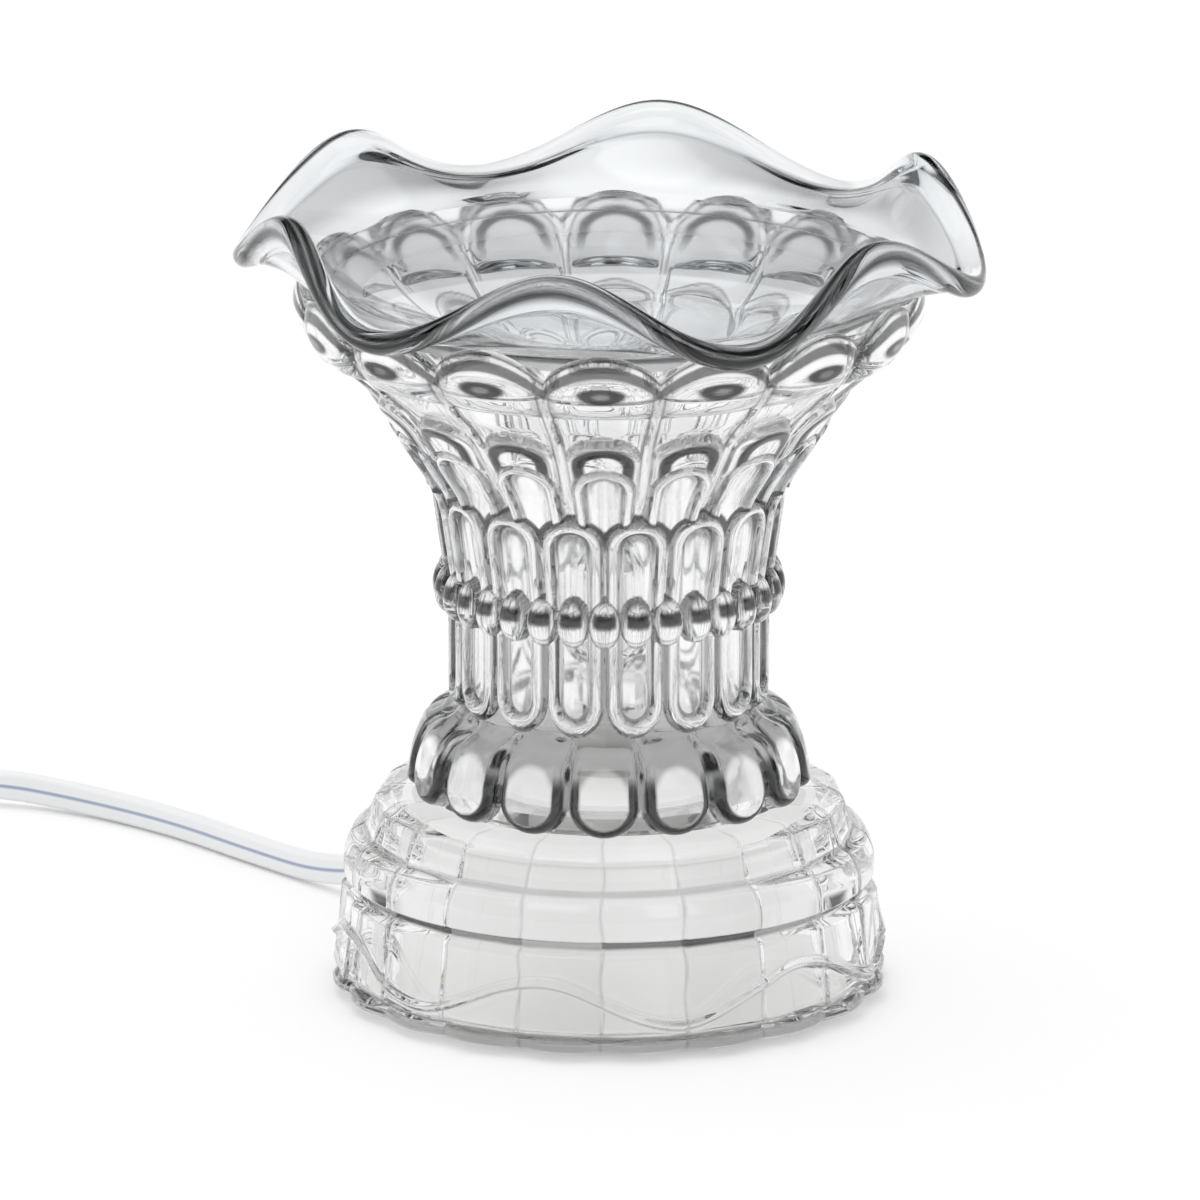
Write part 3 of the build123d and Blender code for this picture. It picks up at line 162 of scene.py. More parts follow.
ARCH_GAP_DARK, ANKLE_DARK, LOW_ARCH_SHARE = 0.8, 0.5, 0.6
FOOT_BAND_DARK, BULB_DARK = 0.92, 0.5
BEAD_DARK, BEAD_RIM_DARK = 0.85, 0.7
RIM_LINE_DARK, RIM_DARK, RIM_SWING, RIM_UNDER_DARK = 0.93, 0.62, 0.32, 0.85
WALL_SHADE_DARK, UNDER_WALL_SHADE_DARK, INNER_LINE_DARK = 0.42, 0.12, 0.4
SEAM_DARK, SEAM_LINE_WIDTH = 0.22, 0.3
FACET_DARK, FACET_SWING, BELLY_DARK = 0.02, 0.03, 0.02
GROOVE_DARK, GROOVE_SWING = 0.7, 0.22
RIDGE_DARK, STEP_DARK, SHOULDER_DARK = 0.38, 0.3, 0.12

# Ruffled dish: heights from its seat
GLASS_GAP = 0.3
DISH_SEAT = SHADE_FOOT + SEAT_HEIGHT + GLASS_GAP
RUFFLES, RUFFLE_TURN = 6, 21.0
RIM_RADIUS = 67.0
RIM_HEIGHT = 11.3
RUFFLE_RISE, RUFFLE_REACH = 6.6, 2.5
RUFFLE_ONSET, RIM_UPTURN = 1.4, 1.15  # powers: how late the waves and the rise come
DISH_WALL = 2.9
RIM_BEAD = 5.0
RIM_BEAD_START = 0.72  # share of the way from the shoulder to the rim
SHOULDER_RADIUS, SHOULDER_HEIGHT = 56.2, 3.4
DISH_FLOOR_RADIUS, DISH_FLOOR_DROP, DISH_UNDERSIDE_DROP = 25.0, 6.9, 9.9
DISH_FLOOR_RINGS = (0.4, 10.0, 20.0)
BOWL_RUN, BOWL_RISE, BOWL_CURVE = 29.6, 10.2, 1.12
SEAT_RADIUS, SEAT_ROUNDING, SEAT_RISE, SEAT_PRESS = 52.4, 4.9, 3.6, 0.95
SPIGOT_RADIUS, SPIGOT_DROP, SPIGOT_CURVE = 52.2, 1.5, 0.9
DISH_COLUMNS = 480
BOWL_ROWS, RIM_ROWS, RIM_BEAD_ROWS, SEAT_ROWS, SPIGOT_ROWS = 16, 34, 22, 12, 10

# Stepped base
BASE_FOOT, BASE_TOP = 0.9, 39.3
FLANGE_TOP, FLANGE_RADIUS, FLANGE_LOBE = 4.4, 51.6, 1.4
FOOT_GROOVE_LOW, FOOT_GROOVE_HIGH, FOOT_GROOVE_DEPTH = 3.8, 5.0, 1.0
LOWER_TOP, LOWER_RADIUS, LOWER_TAPER = 21.6, 52.6, 1.6
GROOVE_RADIUS = 48.9
RING_FOOT, RING_TOP, RING_RADIUS, RING_TAPER, RING_BULGE = 22.8, 31.6, 50.6, 2.4, 1.0
UPPER_FOOT, UPPER_RADIUS, UPPER_TAPER = 30.4, 47.2, 3.2
LOWER_SIDES, UPPER_SIDES = 20, 20
CORNER_ROUNDING = 0.012  # radians
SEAM_DEPTH, RING_SEAM_DEPTH, SEAM_WIDTH = 0.5, 0.4, 0.5
LOWER_SEAM_RADIUS, UPPER_SEAM_RADIUS = 50.0, 46.0
FACET_STEP = 2.4  # radians from one facet's unevenness to the next one's
LOWER_LEAN, UPPER_LEAN = 0.35, 0.3
UPPER_MIDDLE, UPPER_HALF = 35.0, 4.2
RIDGE_WAVES, RIDGE_TURN = 6, 75.0
RIDGE_HEIGHT, RIDGE_SWING, RIDGE_RELIEF, RIDGE_WIDTH = 10.8, 4.0, 1.2, 0.7
WANDER, WANDER_WAVE, WANDER_STEP = 0.35, 0.5, 2.1  # seams: degrees, radians up and from one to the next
BOSS_RADIUS, BOSS_TOP, BOSS_HOLE = 30.4, 42.0, 21.5
CEILING_HEIGHT, CEILING_RADIUS = 34.3, 38.4
HOLLOW_RADIUS, COVER_SEAT, COVER_RADIUS = 44.2, 3.8, 46.6
LINER_BAND = 18.5  # height where the liner's painted shade, a greyer white below, gives way to white
LINER_BAND_SOFTNESS = 0.6
BASE_COLUMNS, BASE_ROWS = 1000, 200

# Flat twin cord: the route's points, as in the solids
CORD_WIDTH = 6.0
CORD_THICKNESS = 3.0
CORD_GROOVE_DEPTH, CORD_GROOVE_WIDTH = 0.45, 0.55
CORD_LINE_FULL, CORD_LINE_END = 0.15, 0.5  # from the groove's middle
CORD_SIDES = 28
LEAD_ROUTE = (
    (-47.95, 55.16, 6.165),
    (-54.92, 63.18, 3.32),
    (-68.5, 78.5, 3.2),
    (-84.5, 98.0, 3.2),
    (-102.5, 113.6, 3.2),
    (-121.0, 122.0, 4.4),
    (-137.0, 122.0, 4.4),
)
COIL_START = (-217.0, 122.0, 4.4)
COIL_TAIL, COIL_LEAD = 26.0, 14.0
COIL_RADIUS, COIL_PITCH, COIL_LAYER = 34.0, 5.0, 6.6
COIL_TURNS = 2
COIL_POINTS = 12  # for each turn


def feed(tree, socket, source):
    """Gives a node's input another node's output, or a plain value."""
    if isinstance(source, bpy.types.NodeSocket):
        tree.links.new(source, socket)
    else:
        socket.default_value = source


def calculated(tree, operation, *sources):
    """Output of a math node."""
    node = tree.nodes.new("ShaderNodeMath")
    node.operation = operation
    for socket, source in zip(node.inputs, sources):
        feed(tree, socket, source)
    return node.outputs["Value"]


def color_mix(tree, factor, first, second):
    """Output that goes from one colour to another."""
    node = tree.nodes.new("ShaderNodeMix")
    node.data_type = "RGBA"
    feed(tree, node.inputs["Factor"], factor)
    feed(tree, node.inputs["A"], first)
    feed(tree, node.inputs["B"], second)
    return node.outputs["Result"]


def shader_mix(tree, factor, first, second):
    """Output that goes from one shader to another."""
    node = tree.nodes.new("ShaderNodeMixShader")
    tree.links.new(factor, node.inputs["Fac"])
    tree.links.new(first, node.inputs[1])
    tree.links.new(second, node.inputs[2])
    return node.outputs["Shader"]


def piece_noise(tree, scale, detail):
    """Output of a noise that stays with the piece."""
    place = tree.nodes.new("ShaderNodeTexCoord")
    noise = tree.nodes.new("ShaderNodeTexNoise")
    noise.inputs["Detail"].default_value = detail
    feed(tree, noise.inputs["Scale"], scale)
    tree.links.new(place.outputs["Object"], noise.inputs["Vector"])
    return noise.outputs["Fac"]


def material(name, color, roughness, grain=0.03, grain_scale=60.0, metallic=0.0):
    """Plain surface whose colour and polish vary a little, as moulded and pressed parts do."""
    made = bpy.data.materials.new(name)
    made.use_nodes = True
    tree = made.node_tree
    shader = tree.nodes["Principled BSDF"]
    shader.inputs["Metallic"].default_value = metallic
    noise = piece_noise(tree, grain_scale, 4.0)
    darker = (*[channel * (1 - grain) for channel in color], 1)
    lighter = (*[min(channel * (1 + grain), 1) for channel in color], 1)
    tree.links.new(color_mix(tree, noise, darker, lighter), shader.inputs["Base Color"])
    polish = tree.nodes.new("ShaderNodeMapRange")
    polish.inputs["To Min"].default_value = roughness * (1 - POLISH_SPREAD)
    polish.inputs["To Max"].default_value = roughness * (1 + POLISH_SPREAD)
    tree.links.new(noise, polish.inputs["Value"])
    tree.links.new(polish.outputs["Result"], shader.inputs["Roughness"])
    return made


def pressed_waviness():
    """Node group: the slow unevenness that pressing leaves in glass, as a normal and a tint."""
    group = bpy.data.node_groups.new("pressed waviness", "ShaderNodeTree")
    for name in ("Scale", "Strength"):
        group.interface.new_socket(name, in_out="INPUT", socket_type="NodeSocketFloat")
    for name in ("Thick Tint", "Thin Tint"):
        group.interface.new_socket(name, in_out="INPUT", socket_type="NodeSocketColor")
    group.interface.new_socket("Normal", in_out="OUTPUT", socket_type="NodeSocketVector")
    group.interface.new_socket("Tint", in_out="OUTPUT", socket_type="NodeSocketColor")
    given = group.nodes.new("NodeGroupInput").outputs
    result = group.nodes.new("NodeGroupOutput").inputs
    noise = piece_noise(group, given["Scale"], 1.0)
    bump = group.nodes.new("ShaderNodeBump")
    bump.inputs["Distance"].default_value = MM
    group.links.new(given["Strength"], bump.inputs["Strength"])
    group.links.new(noise, bump.inputs["Height"])
    group.links.new(bump.outputs["Normal"], result["Normal"])
    group.links.new(color_mix(group, noise, given["Thick Tint"], given["Thin Tint"]), result["Tint"])
    return group


def clear_glass(name, waviness, scale, strength, tint, roughness=0.0, shadow=0.97):
    """Clear glass with shade painted where its relief would turn light aside, that casts only a light
    shadow.
    """
    made = bpy.data.materials.new(name)
    made.use_nodes = True
    tree = made.node_tree
    nodes = tree.nodes
    links = tree.links
    shader = nodes["Principled BSDF"]
    shader.inputs["Roughness"].default_value = roughness
    shader.inputs["IOR"].default_value = GLASS_IOR
    shader.inputs["Transmission Weight"].default_value = 1.0
    uneven = nodes.new("ShaderNodeGroup")
    uneven.node_tree = waviness
    uneven.inputs["Scale"].default_value = scale
    uneven.inputs["Strength"].default_value = strength
    uneven.inputs["Thick Tint"].default_value = (*[channel - TINT_SPREAD for channel in tint], 1)
    uneven.inputs["Thin Tint"].default_value = (*[channel + TINT_SPREAD for channel in tint], 1)
    links.new(uneven.outputs["Normal"], shader.inputs["Normal"])
    # painted shade: a point attribute of the mesh darkens the glass's colour, less on its far side
    turned = nodes.new("ShaderNodeAttribute")
    turned.attribute_name = "painted_turned_light"
    side = nodes.new("ShaderNodeNewGeometry")
    near = calculated(tree, "MULTIPLY_ADD", side.outputs["Backfacing"], FAR_SIDE_SHARE - 1, 1.0)
    share = calculated(tree, "MULTIPLY", turned.outputs["Fac"], near)
    darkest_color = (PAINTED_SHADE_COLOR, PAINTED_SHADE_COLOR, PAINTED_SHADE_COLOR, 1)
    links.new(color_mix(tree, share, uneven.outputs["Tint"], darkest_color), shader.inputs["Base Color"])
    see_through = nodes.new("ShaderNodeBsdfTransparent")
    see_through.inputs["Color"].default_value = (shadow, shadow, shadow, 1)
    path = nodes.new("ShaderNodeLightPath").outputs
    lighting = calculated(tree, "MAXIMUM", path["Is Shadow Ray"], path["Is Diffuse Ray"])
    surface = shader_mix(tree, lighting, shader.outputs["BSDF"], see_through.outputs["BSDF"])
    links.new(surface, nodes["Material Output"].inputs["Surface"])
    return made


def ramp(value, start, end):
    """0 up to one value and 1 from another on, with a gentle start and end."""
    share = np.clip((value - start) / (end - start), 0, 1)
    return share * share * (3 - 2 * share)


def window(value, low, high, soft):
    """1 between two values and 0 outside them, with soft ends."""
    reach = soft / 2
    return ramp(value, low - reach, low + reach) * ramp(value, high + reach, high - reach)


def largest(*values):
    """Largest of several values at each point."""
    return reduce(np.maximum, values)


def soft_max(a, b, blend):
    """Larger of two heights, with the crease between them rounded over this many millimetres."""
    share = np.clip(0.5 + 0.5 * (a - b) / blend, 0, 1)
    return b + (a - b) * share + blend * share * (1 - share)


def turned_offset(turns, first, count):
    """Degrees from the nearest of this many places round the part, the first of them at this turn."""
    step = 360 / count
    return (turns - first + step / 2) % step - step / 2


def steepness(relief, along, around):
    """0 where a relief lies flat, 1 where it is steep, from its rows and columns and their spacing."""
    up = np.gradient(relief, axis=0) / along
    across = (np.roll(relief, -1, axis=1) - np.roll(relief, 1, axis=1)) / (2 * around)
    return ramp(np.hypot(up, across), FLAT_SLOPE, STEEP_SLOPE)


def ring_mesh(name, grid, body, surface, closed=True, dark=None):
    """Mesh from rows of points round the axis; last and first row join if the outline is closed."""
    rows, columns, _ = grid.shape
    index = np.arange(rows * columns).reshape(rows, columns)
    low = index if closed else index[:-1]
    high = np.roll(index, -1, axis=0) if closed else index[1:]
    corners = [low, np.roll(low, -1, axis=1), np.roll(high, -1, axis=1), high]
    faces = np.stack(corners, axis=-1).reshape(-1, 4).tolist()
    if not closed:
        faces.append(index[0][::-1].tolist())
        faces.append(index[-1].tolist())
    mesh = bpy.data.meshes.new(name)
    mesh.from_pydata((grid.reshape(-1, 3) * MM).tolist(), [], faces)
    mesh.materials.append(surface)
    mesh.shade_smooth()
    mesh.set_sharp_from_angle(angle=radians(SHARP_ANGLE))
    # painted shade: the darkness given is kept on the points, for the glass to darken its colour
    if dark is not None:
        layer = mesh.attributes.new("painted_turned_light", "FLOAT", "POINT")
        values = np.zeros((rows, columns), dtype=np.float32)
        values[:len(dark)] = 1 - (1 - np.clip(dark, 0, 1)) ** 2
        layer.data.foreach_set("value", values.reshape(-1))
    piece = bpy.data.objects.new(name, mesh)
    bpy.context.scene.collection.objects.link(piece)
    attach(piece, body)
    return piece


def surface_rows(piece, surface, columns, *spans):
    """Gives rows of a ring mesh's faces another surface."""
    piece.data.materials.append(surface)
    number = len(piece.data.materials) - 1
    for first, end in spans:
        for face in piece.data.polygons[first * columns:end * columns]:
            face.material_index = number


def round_points(radius, height, turns):
    """Points in space for radii and heights at these turns in degrees."""
    angle = np.radians(turns)
    return np.stack([radius * np.cos(angle), radius * np.sin(angle), height + 0 * angle], axis=-1)


def wall_radius(height):
    """Smoothed radius of the shade's wall between the petals."""
    heights, radii = zip(*SHADE_STATIONS)
    shifts = np.linspace(-BEND_ROUNDING, BEND_ROUNDING, 9)
    return np.mean([np.interp(height + shift, heights, radii) for shift in shifts], axis=0)


def wall_length(height):
    """Length along the shade's wall, measured every tenth of a millimetre from a little below its foot."""
    fine = np.linspace(-4, 104, 1081)
    steps = np.hypot(np.diff(fine), np.diff(wall_radius(fine)))
    return np.interp(height, fine, np.concatenate([[0], np.cumsum(steps)]))


def column_offset(turns):
    """0 in the middle of a column of petals, 1 between two columns."""
    return np.abs(turned_offset(turns, COLUMN_TURN, PETALS)) / (PITCH / 2)


def crown_top(turns):
    """Height of the crown's arched edge."""
    return CROWN_NOTCH + (CROWN_TIP - CROWN_NOTCH) * (1 - column_offset(turns) ** 2) ** 0.75


def inside_petal(turns, height, first, outline):
    """Millimetres inside a petal's arched outline, and the share of its length from the root."""
    root, tip, cover, arch = outline
    root_length, tip_length = wall_length([root, tip])
    share = (wall_length(height) - root_length) / (tip_length - root_length)
    wall = wall_radius(height)
    half = wall * radians(PITCH / 2) * cover
    arch_length = wall_radius(np.array(tip)) * radians(PITCH / 2) * cover * arch
    beyond = np.maximum((share - 1) * abs(tip_length - root_length) + arch_length, 0)
    across = wall * np.radians(np.abs(turned_offset(turns, first, PETALS)))
    return half * (1 - np.hypot(across / half, beyond / arch_length)), share


def pillow(inward, relief, flank):
    """Rounded cushion inside an outline."""
    near = np.clip(inward / flank, 0, 1)
    return relief * np.sqrt(np.maximum(1 - (1 - near) ** 2, 0))


def framed(inward, relief, band, panel):
    """Rounded band along an outline, with a panel inside it at this share of its height."""
    near = np.clip(inward / band, 0, 2)
    rise = np.sqrt(np.maximum(1 - (1 - np.minimum(near, 1)) ** 2, 0))
    fall = panel + (1 - panel) * 0.5 * (1 + np.cos(pi * np.clip(near - 1, 0, 1)))
    return relief * np.where(near < 1, rise, fall)


def outline_dark(inward, dark):
    """Painted shade: a dark line along an outline."""
    return dark * np.exp(-((inward / OUTLINE_WIDTH) ** 2))


def frame_dark(inward, band, tip):
    """Painted shade: dark lines round a framed panel, heavier at its tip."""
    inner = (FRAME_DARK + FRAME_TIP_DARK * tip) * window(inward, band * 1.55, band * 2.15, 0.5)
    crescent = CRESCENT_DARK * tip * window(inward, band * 2.0, band * 3.0, 0.8)
    return largest(outline_dark(inward, OUTLINE_DARK), inner, crescent)


def laid_over(under, over, inward):
    """Values inside an outline laid over those outside it."""
    return under + (over - under) * ramp(inward, -OUTLINE_SOFTNESS, OUTLINE_SOFTNESS)


def crown_relief(turns, height):
    """Relief and painted shade of the crown's petals, and of the flutes and ribs below them."""
    across = column_offset(turns)
    wall = wall_radius(height)
    side = wall * radians(PITCH / 2) * across
    edge = wall * np.radians(np.abs(turned_offset(turns, BETWEEN_TURN, PETALS)))
    flared = ramp(height, FLARE_START, FLARE_FULL)
    above = np.clip((height - CROWN_RIDGE) / (CROWN_CLOSE - CROWN_RIDGE), 0, 1)
    below = np.clip((CROWN_RIDGE - height) / (CROWN_RIDGE - CROWN_ROOT), 0, 1)
    rise = np.where(above > 0, np.sqrt(1 - above * above), np.sqrt(1 - below * below))
    crown = CROWN_RELIEF * rise * (1 - across ** 2.5) ** 0.6
    flute = FLUTE_DEPTH * np.cos(across * pi / 2) ** 2 * flared * ramp(height, FLUTE_END, FLUTE_FADE)
    rib = RIB_RELIEF * np.exp(-((edge / RIB_WIDTH) ** 2)) * flared * ramp(height, RIB_END, RIB_FADE)

    # painted shade: a dark lens with a lighter heart, a band under the tip and dark sides in each crown
    # petal, and lines at its foot, top and ribs
    depth = crown_top(turns) - height
    oval = np.hypot(side / LENS_HALF_WIDTH, (height - LENS_HEIGHT) / LENS_HALF_HEIGHT)
    lens = LENS_DARK * ramp(oval, 1.2, 0.7) - LENS_HEART * ramp(oval, 0.55, 0.2)
    band = CROWN_BAND_DARK * window(depth, 1.0, 3.3, 0.7)
    sides = CROWN_SIDE_DARK * ramp(across, 0.66, 0.86)
    petal = largest(lens, band, sides) * ramp(height, CROWN_ROOT, CROWN_ROOT + 0.8)
    foot = CROWN_FOOT_DARK * window(height, CROWN_ROOT - 0.2, CROWN_ROOT + 0.9, 0.5)
    foot = foot * ramp(across, 0.95, 0.85)
    top = CROWN_EDGE_DARK * ramp(depth, 0.5, 0.1)
    rib_sides = RIB_DARK * window(edge, 0.75, 1.3, 0.3) * flared
    return soft_max(crown - flute, rib, 0.5), largest(petal, foot, top, rib_sides)


def shade_relief(turns, height):
    """How far petals and beads stand out from the wall, and the shade painted where they turn light aside.
    """
    relief, dark = crown_relief(turns, height)

    inward, share = inside_petal(turns, height, COLUMN_TURN, CAP_OUTLINE)
    crescent = CAP_DARK * window(inward, 1.2, 3.6, 0.9) * ramp(share, 0.5, 0.8)
    relief = soft_max(relief, pillow(inward, CAP_RELIEF, CAP_FLANK) * ramp(share, 0, 0.4), 0.3)
    dark = laid_over(dark, largest(crescent, outline_dark(inward, CAP_LINE_DARK)), inward)

    inward, share = inside_petal(turns, height, COLUMN_TURN, COLLAR_OUTLINE)
    collar = COLLAR_STEP + framed(inward, COLLAR_RELIEF - COLLAR_STEP, COLLAR_BAND, COLLAR_PANEL)
    relief = laid_over(relief, collar * ramp(share, 0, 0.3), inward)
    dark = laid_over(dark, frame_dark(inward, COLLAR_BAND, ramp(share, 0.6, 0.85)), inward)

    inward, share = inside_petal(turns, height, BETWEEN_TURN, HIGH_ARCH_OUTLINE)
    tip = ramp(share, 0.5, 0.8)
    gap = ARCH_GAP_DARK * window(inward, -1.3, 0.1, 0.4) * tip
    relief = laid_over(relief, framed(inward, ARCH_RELIEF, ARCH_BAND, ARCH_PANEL), inward)
    dark = laid_over(largest(dark, gap), frame_dark(inward, ARCH_BAND, tip), inward)

    inward, share = inside_petal(turns, height, BETWEEN_TURN, LOW_ARCH_OUTLINE)
    low_dark = frame_dark(inward, ARCH_BAND, LOW_ARCH_SHARE * ramp(share, 0.5, 0.8))
    low_dark = laid_over(ANKLE_DARK * ramp(height, 3, 7), low_dark, inward)
    low = height < BEAD_HEIGHT
    relief = np.where(low, framed(inward, ARCH_RELIEF, ARCH_BAND, ARCH_PANEL), relief)
    dark = np.where(low, low_dark, dark)

    inward, share = inside_petal(turns, height, COLUMN_TURN, FOOT_PETAL_OUTLINE)
    foot_petal = pillow(inward, FOOT_PETAL_RELIEF, FOOT_PETAL_FLANK) * ramp(share, 0, 0.45)
    side = wall_radius(height) * radians(PITCH / 2) * column_offset(turns)
    bulb = np.hypot(side / BULB_HALF_WIDTH, (height - BULB_HEIGHT) / BULB_HALF_HEIGHT)
    band = FOOT_BAND_DARK * window(inward, 0.3, 2.3, 0.6) * (0.4 + 0.6 * ramp(share, 0.4, 0.65))
    foot_dark = largest(band, BULB_DARK * ramp(bulb, 0.85, 1.15))
    foot_dark = laid_over(dark, foot_dark, np.minimum(inward, (share - 0.3) * 8))
    foot = height < FOOT_PETAL_ROOT + 1
    relief = np.where(foot, soft_max(relief, foot_petal, 0.35), relief)
    dark = np.where(foot, foot_dark, dark)

    bead_across = BEAD_CIRCLE * np.radians(turned_offset(turns, COLUMN_TURN, BEADS)) / BEAD_HALF_WIDTH
    bead_up = (height - BEAD_HEIGHT) / BEAD_HALF_LENGTH
    bead_square = np.maximum(1 - bead_across ** 2 - bead_up ** 2, 0)
    proud = BEAD_CIRCLE - wall_radius(height) + BEAD_HALF_WIDTH * np.sqrt(bead_square)
    # painted shade: a dark core in the upper half of each bead and a dark rim round it
    core = BEAD_DARK * window(bead_up, 0.02, 0.6, 0.3) * ramp(np.abs(bead_across), 0.85, 0.55)
    bead_dark = largest(core, BEAD_RIM_DARK * ramp(bead_square, 0.2, 0.05))
    relief = soft_max(relief, np.where(bead_square > 0, proud, 0), 0.25)
    return relief, np.where(bead_square > 0, bead_dark, dark)


def dome_dark(across, level, foot, reach, dark):
    """Painted shade: dark line and crescent of each petal, as seen from inside the mouth."""
    dome = np.hypot(across / DOME_COVER, np.maximum(level - foot, 0) / reach)
    line = DOME_LINE_DARK * window(dome, 0.96, 1.02, 0.05)
    crescent = dark * window(dome, 0.66, 0.86, 0.12) * ramp((level - foot) / reach, 0, 0.5)
    return largest(line, crescent, DOME_DARK * ramp(dome, 1, 0.9))


def make_shade(glass, bore_glass):
    """Pressed petal shade: relief outside, smooth bore inside, arched tips and a ledge for the dish."""
    turns = np.arange(SHADE_COLUMNS)[None, :] * 360 / SHADE_COLUMNS
    across = column_offset(turns)
    top = crown_top(turns)
    climb = np.linspace(0, 1, SHADE_ROWS)[:, None]
    height = climb * top
    wall = wall_radius(height)
    slope = (wall_radius(height + 0.2) - wall_radius(height - 0.2)) / 0.4
    relief, dark = shade_relief(turns, height)
    lean = 1 / np.sqrt(1 + slope * slope)
    settle = ramp(climb, 0, 0.05) * ramp(climb, 1, 0.875)
    outer = wall + relief * lean
    rows = [round_points(outer, SHADE_FOOT + height - relief * slope * lean * settle, turns)]
    around = outer * 2 * pi / SHADE_COLUMNS
    along = np.hypot(np.gradient(height, axis=0), np.gradient(wall, axis=0))
    # painted shade: dark from the petals' outlines and from their steep flanks, with middle tones pushed
    # apart
    tones = largest(dark, FLANK_DARK * steepness(relief, along, around))
    darkness = [tones - TONE_SWING * np.sin(2 * pi * tones)]

    def row(radius, level, dark=0.0):
        rows.append(round_points(radius, SHADE_FOOT + level, turns))
        darkness.append(dark + 0 * turns)

    opened = ramp(top, SEAT_HEIGHT - 1.2, SEAT_HEIGHT + 0.4)
    edge_inside = MOUTH_RADIUS + NOTCH_LEDGE + (LEDGE_WIDTH - NOTCH_LEDGE) * opened
    middle = (outer[-1:] + edge_inside) / 2
    half = (outer[-1:] - edge_inside) / 2
    # painted shade along the crown's rolled top edge, and petals painted on the inside of the mouth and cup
    for bend in np.radians((25, 60, 90, 120, 155)):
        row(middle + half * cos(bend), top + EDGE_ROUNDING * sin(bend), CROWN_TOP_DARK * abs(cos(bend)))
    for share in np.linspace(0.0, 1.0, MOUTH_ROWS):
        level = top + (LIP_HEIGHT - LIP_ROUNDING - top) * share
        mouth = edge_inside + (MOUTH_RADIUS - edge_inside) * share ** 0.7
        row(mouth, level, dome_dark(across, level, *CROWN_DOME))
    for level in np.linspace(LIP_HEIGHT - 1, CUP_FOOT, CUP_ROWS):
        dome = COLLAR_DOME if level < CROWN_ROOT else CROWN_DOME
        row(wall_radius(np.array(level)) - SHADE_WALL, level, dome_dark(across, level, *dome))
    for level in np.linspace(CUP_FOOT - 1, 0, BORE_ROWS):
        row(wall_radius(np.array(level)) - SHADE_WALL, level)
    grid = np.concatenate(rows)
    piece = ring_mesh("pressed_shade", grid, "shade", glass, dark=np.concatenate(darkness))
    surface_rows(piece, bore_glass, SHADE_COLUMNS, (len(grid) - BORE_ROWS, len(grid) - 1))
    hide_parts("glass_shade")


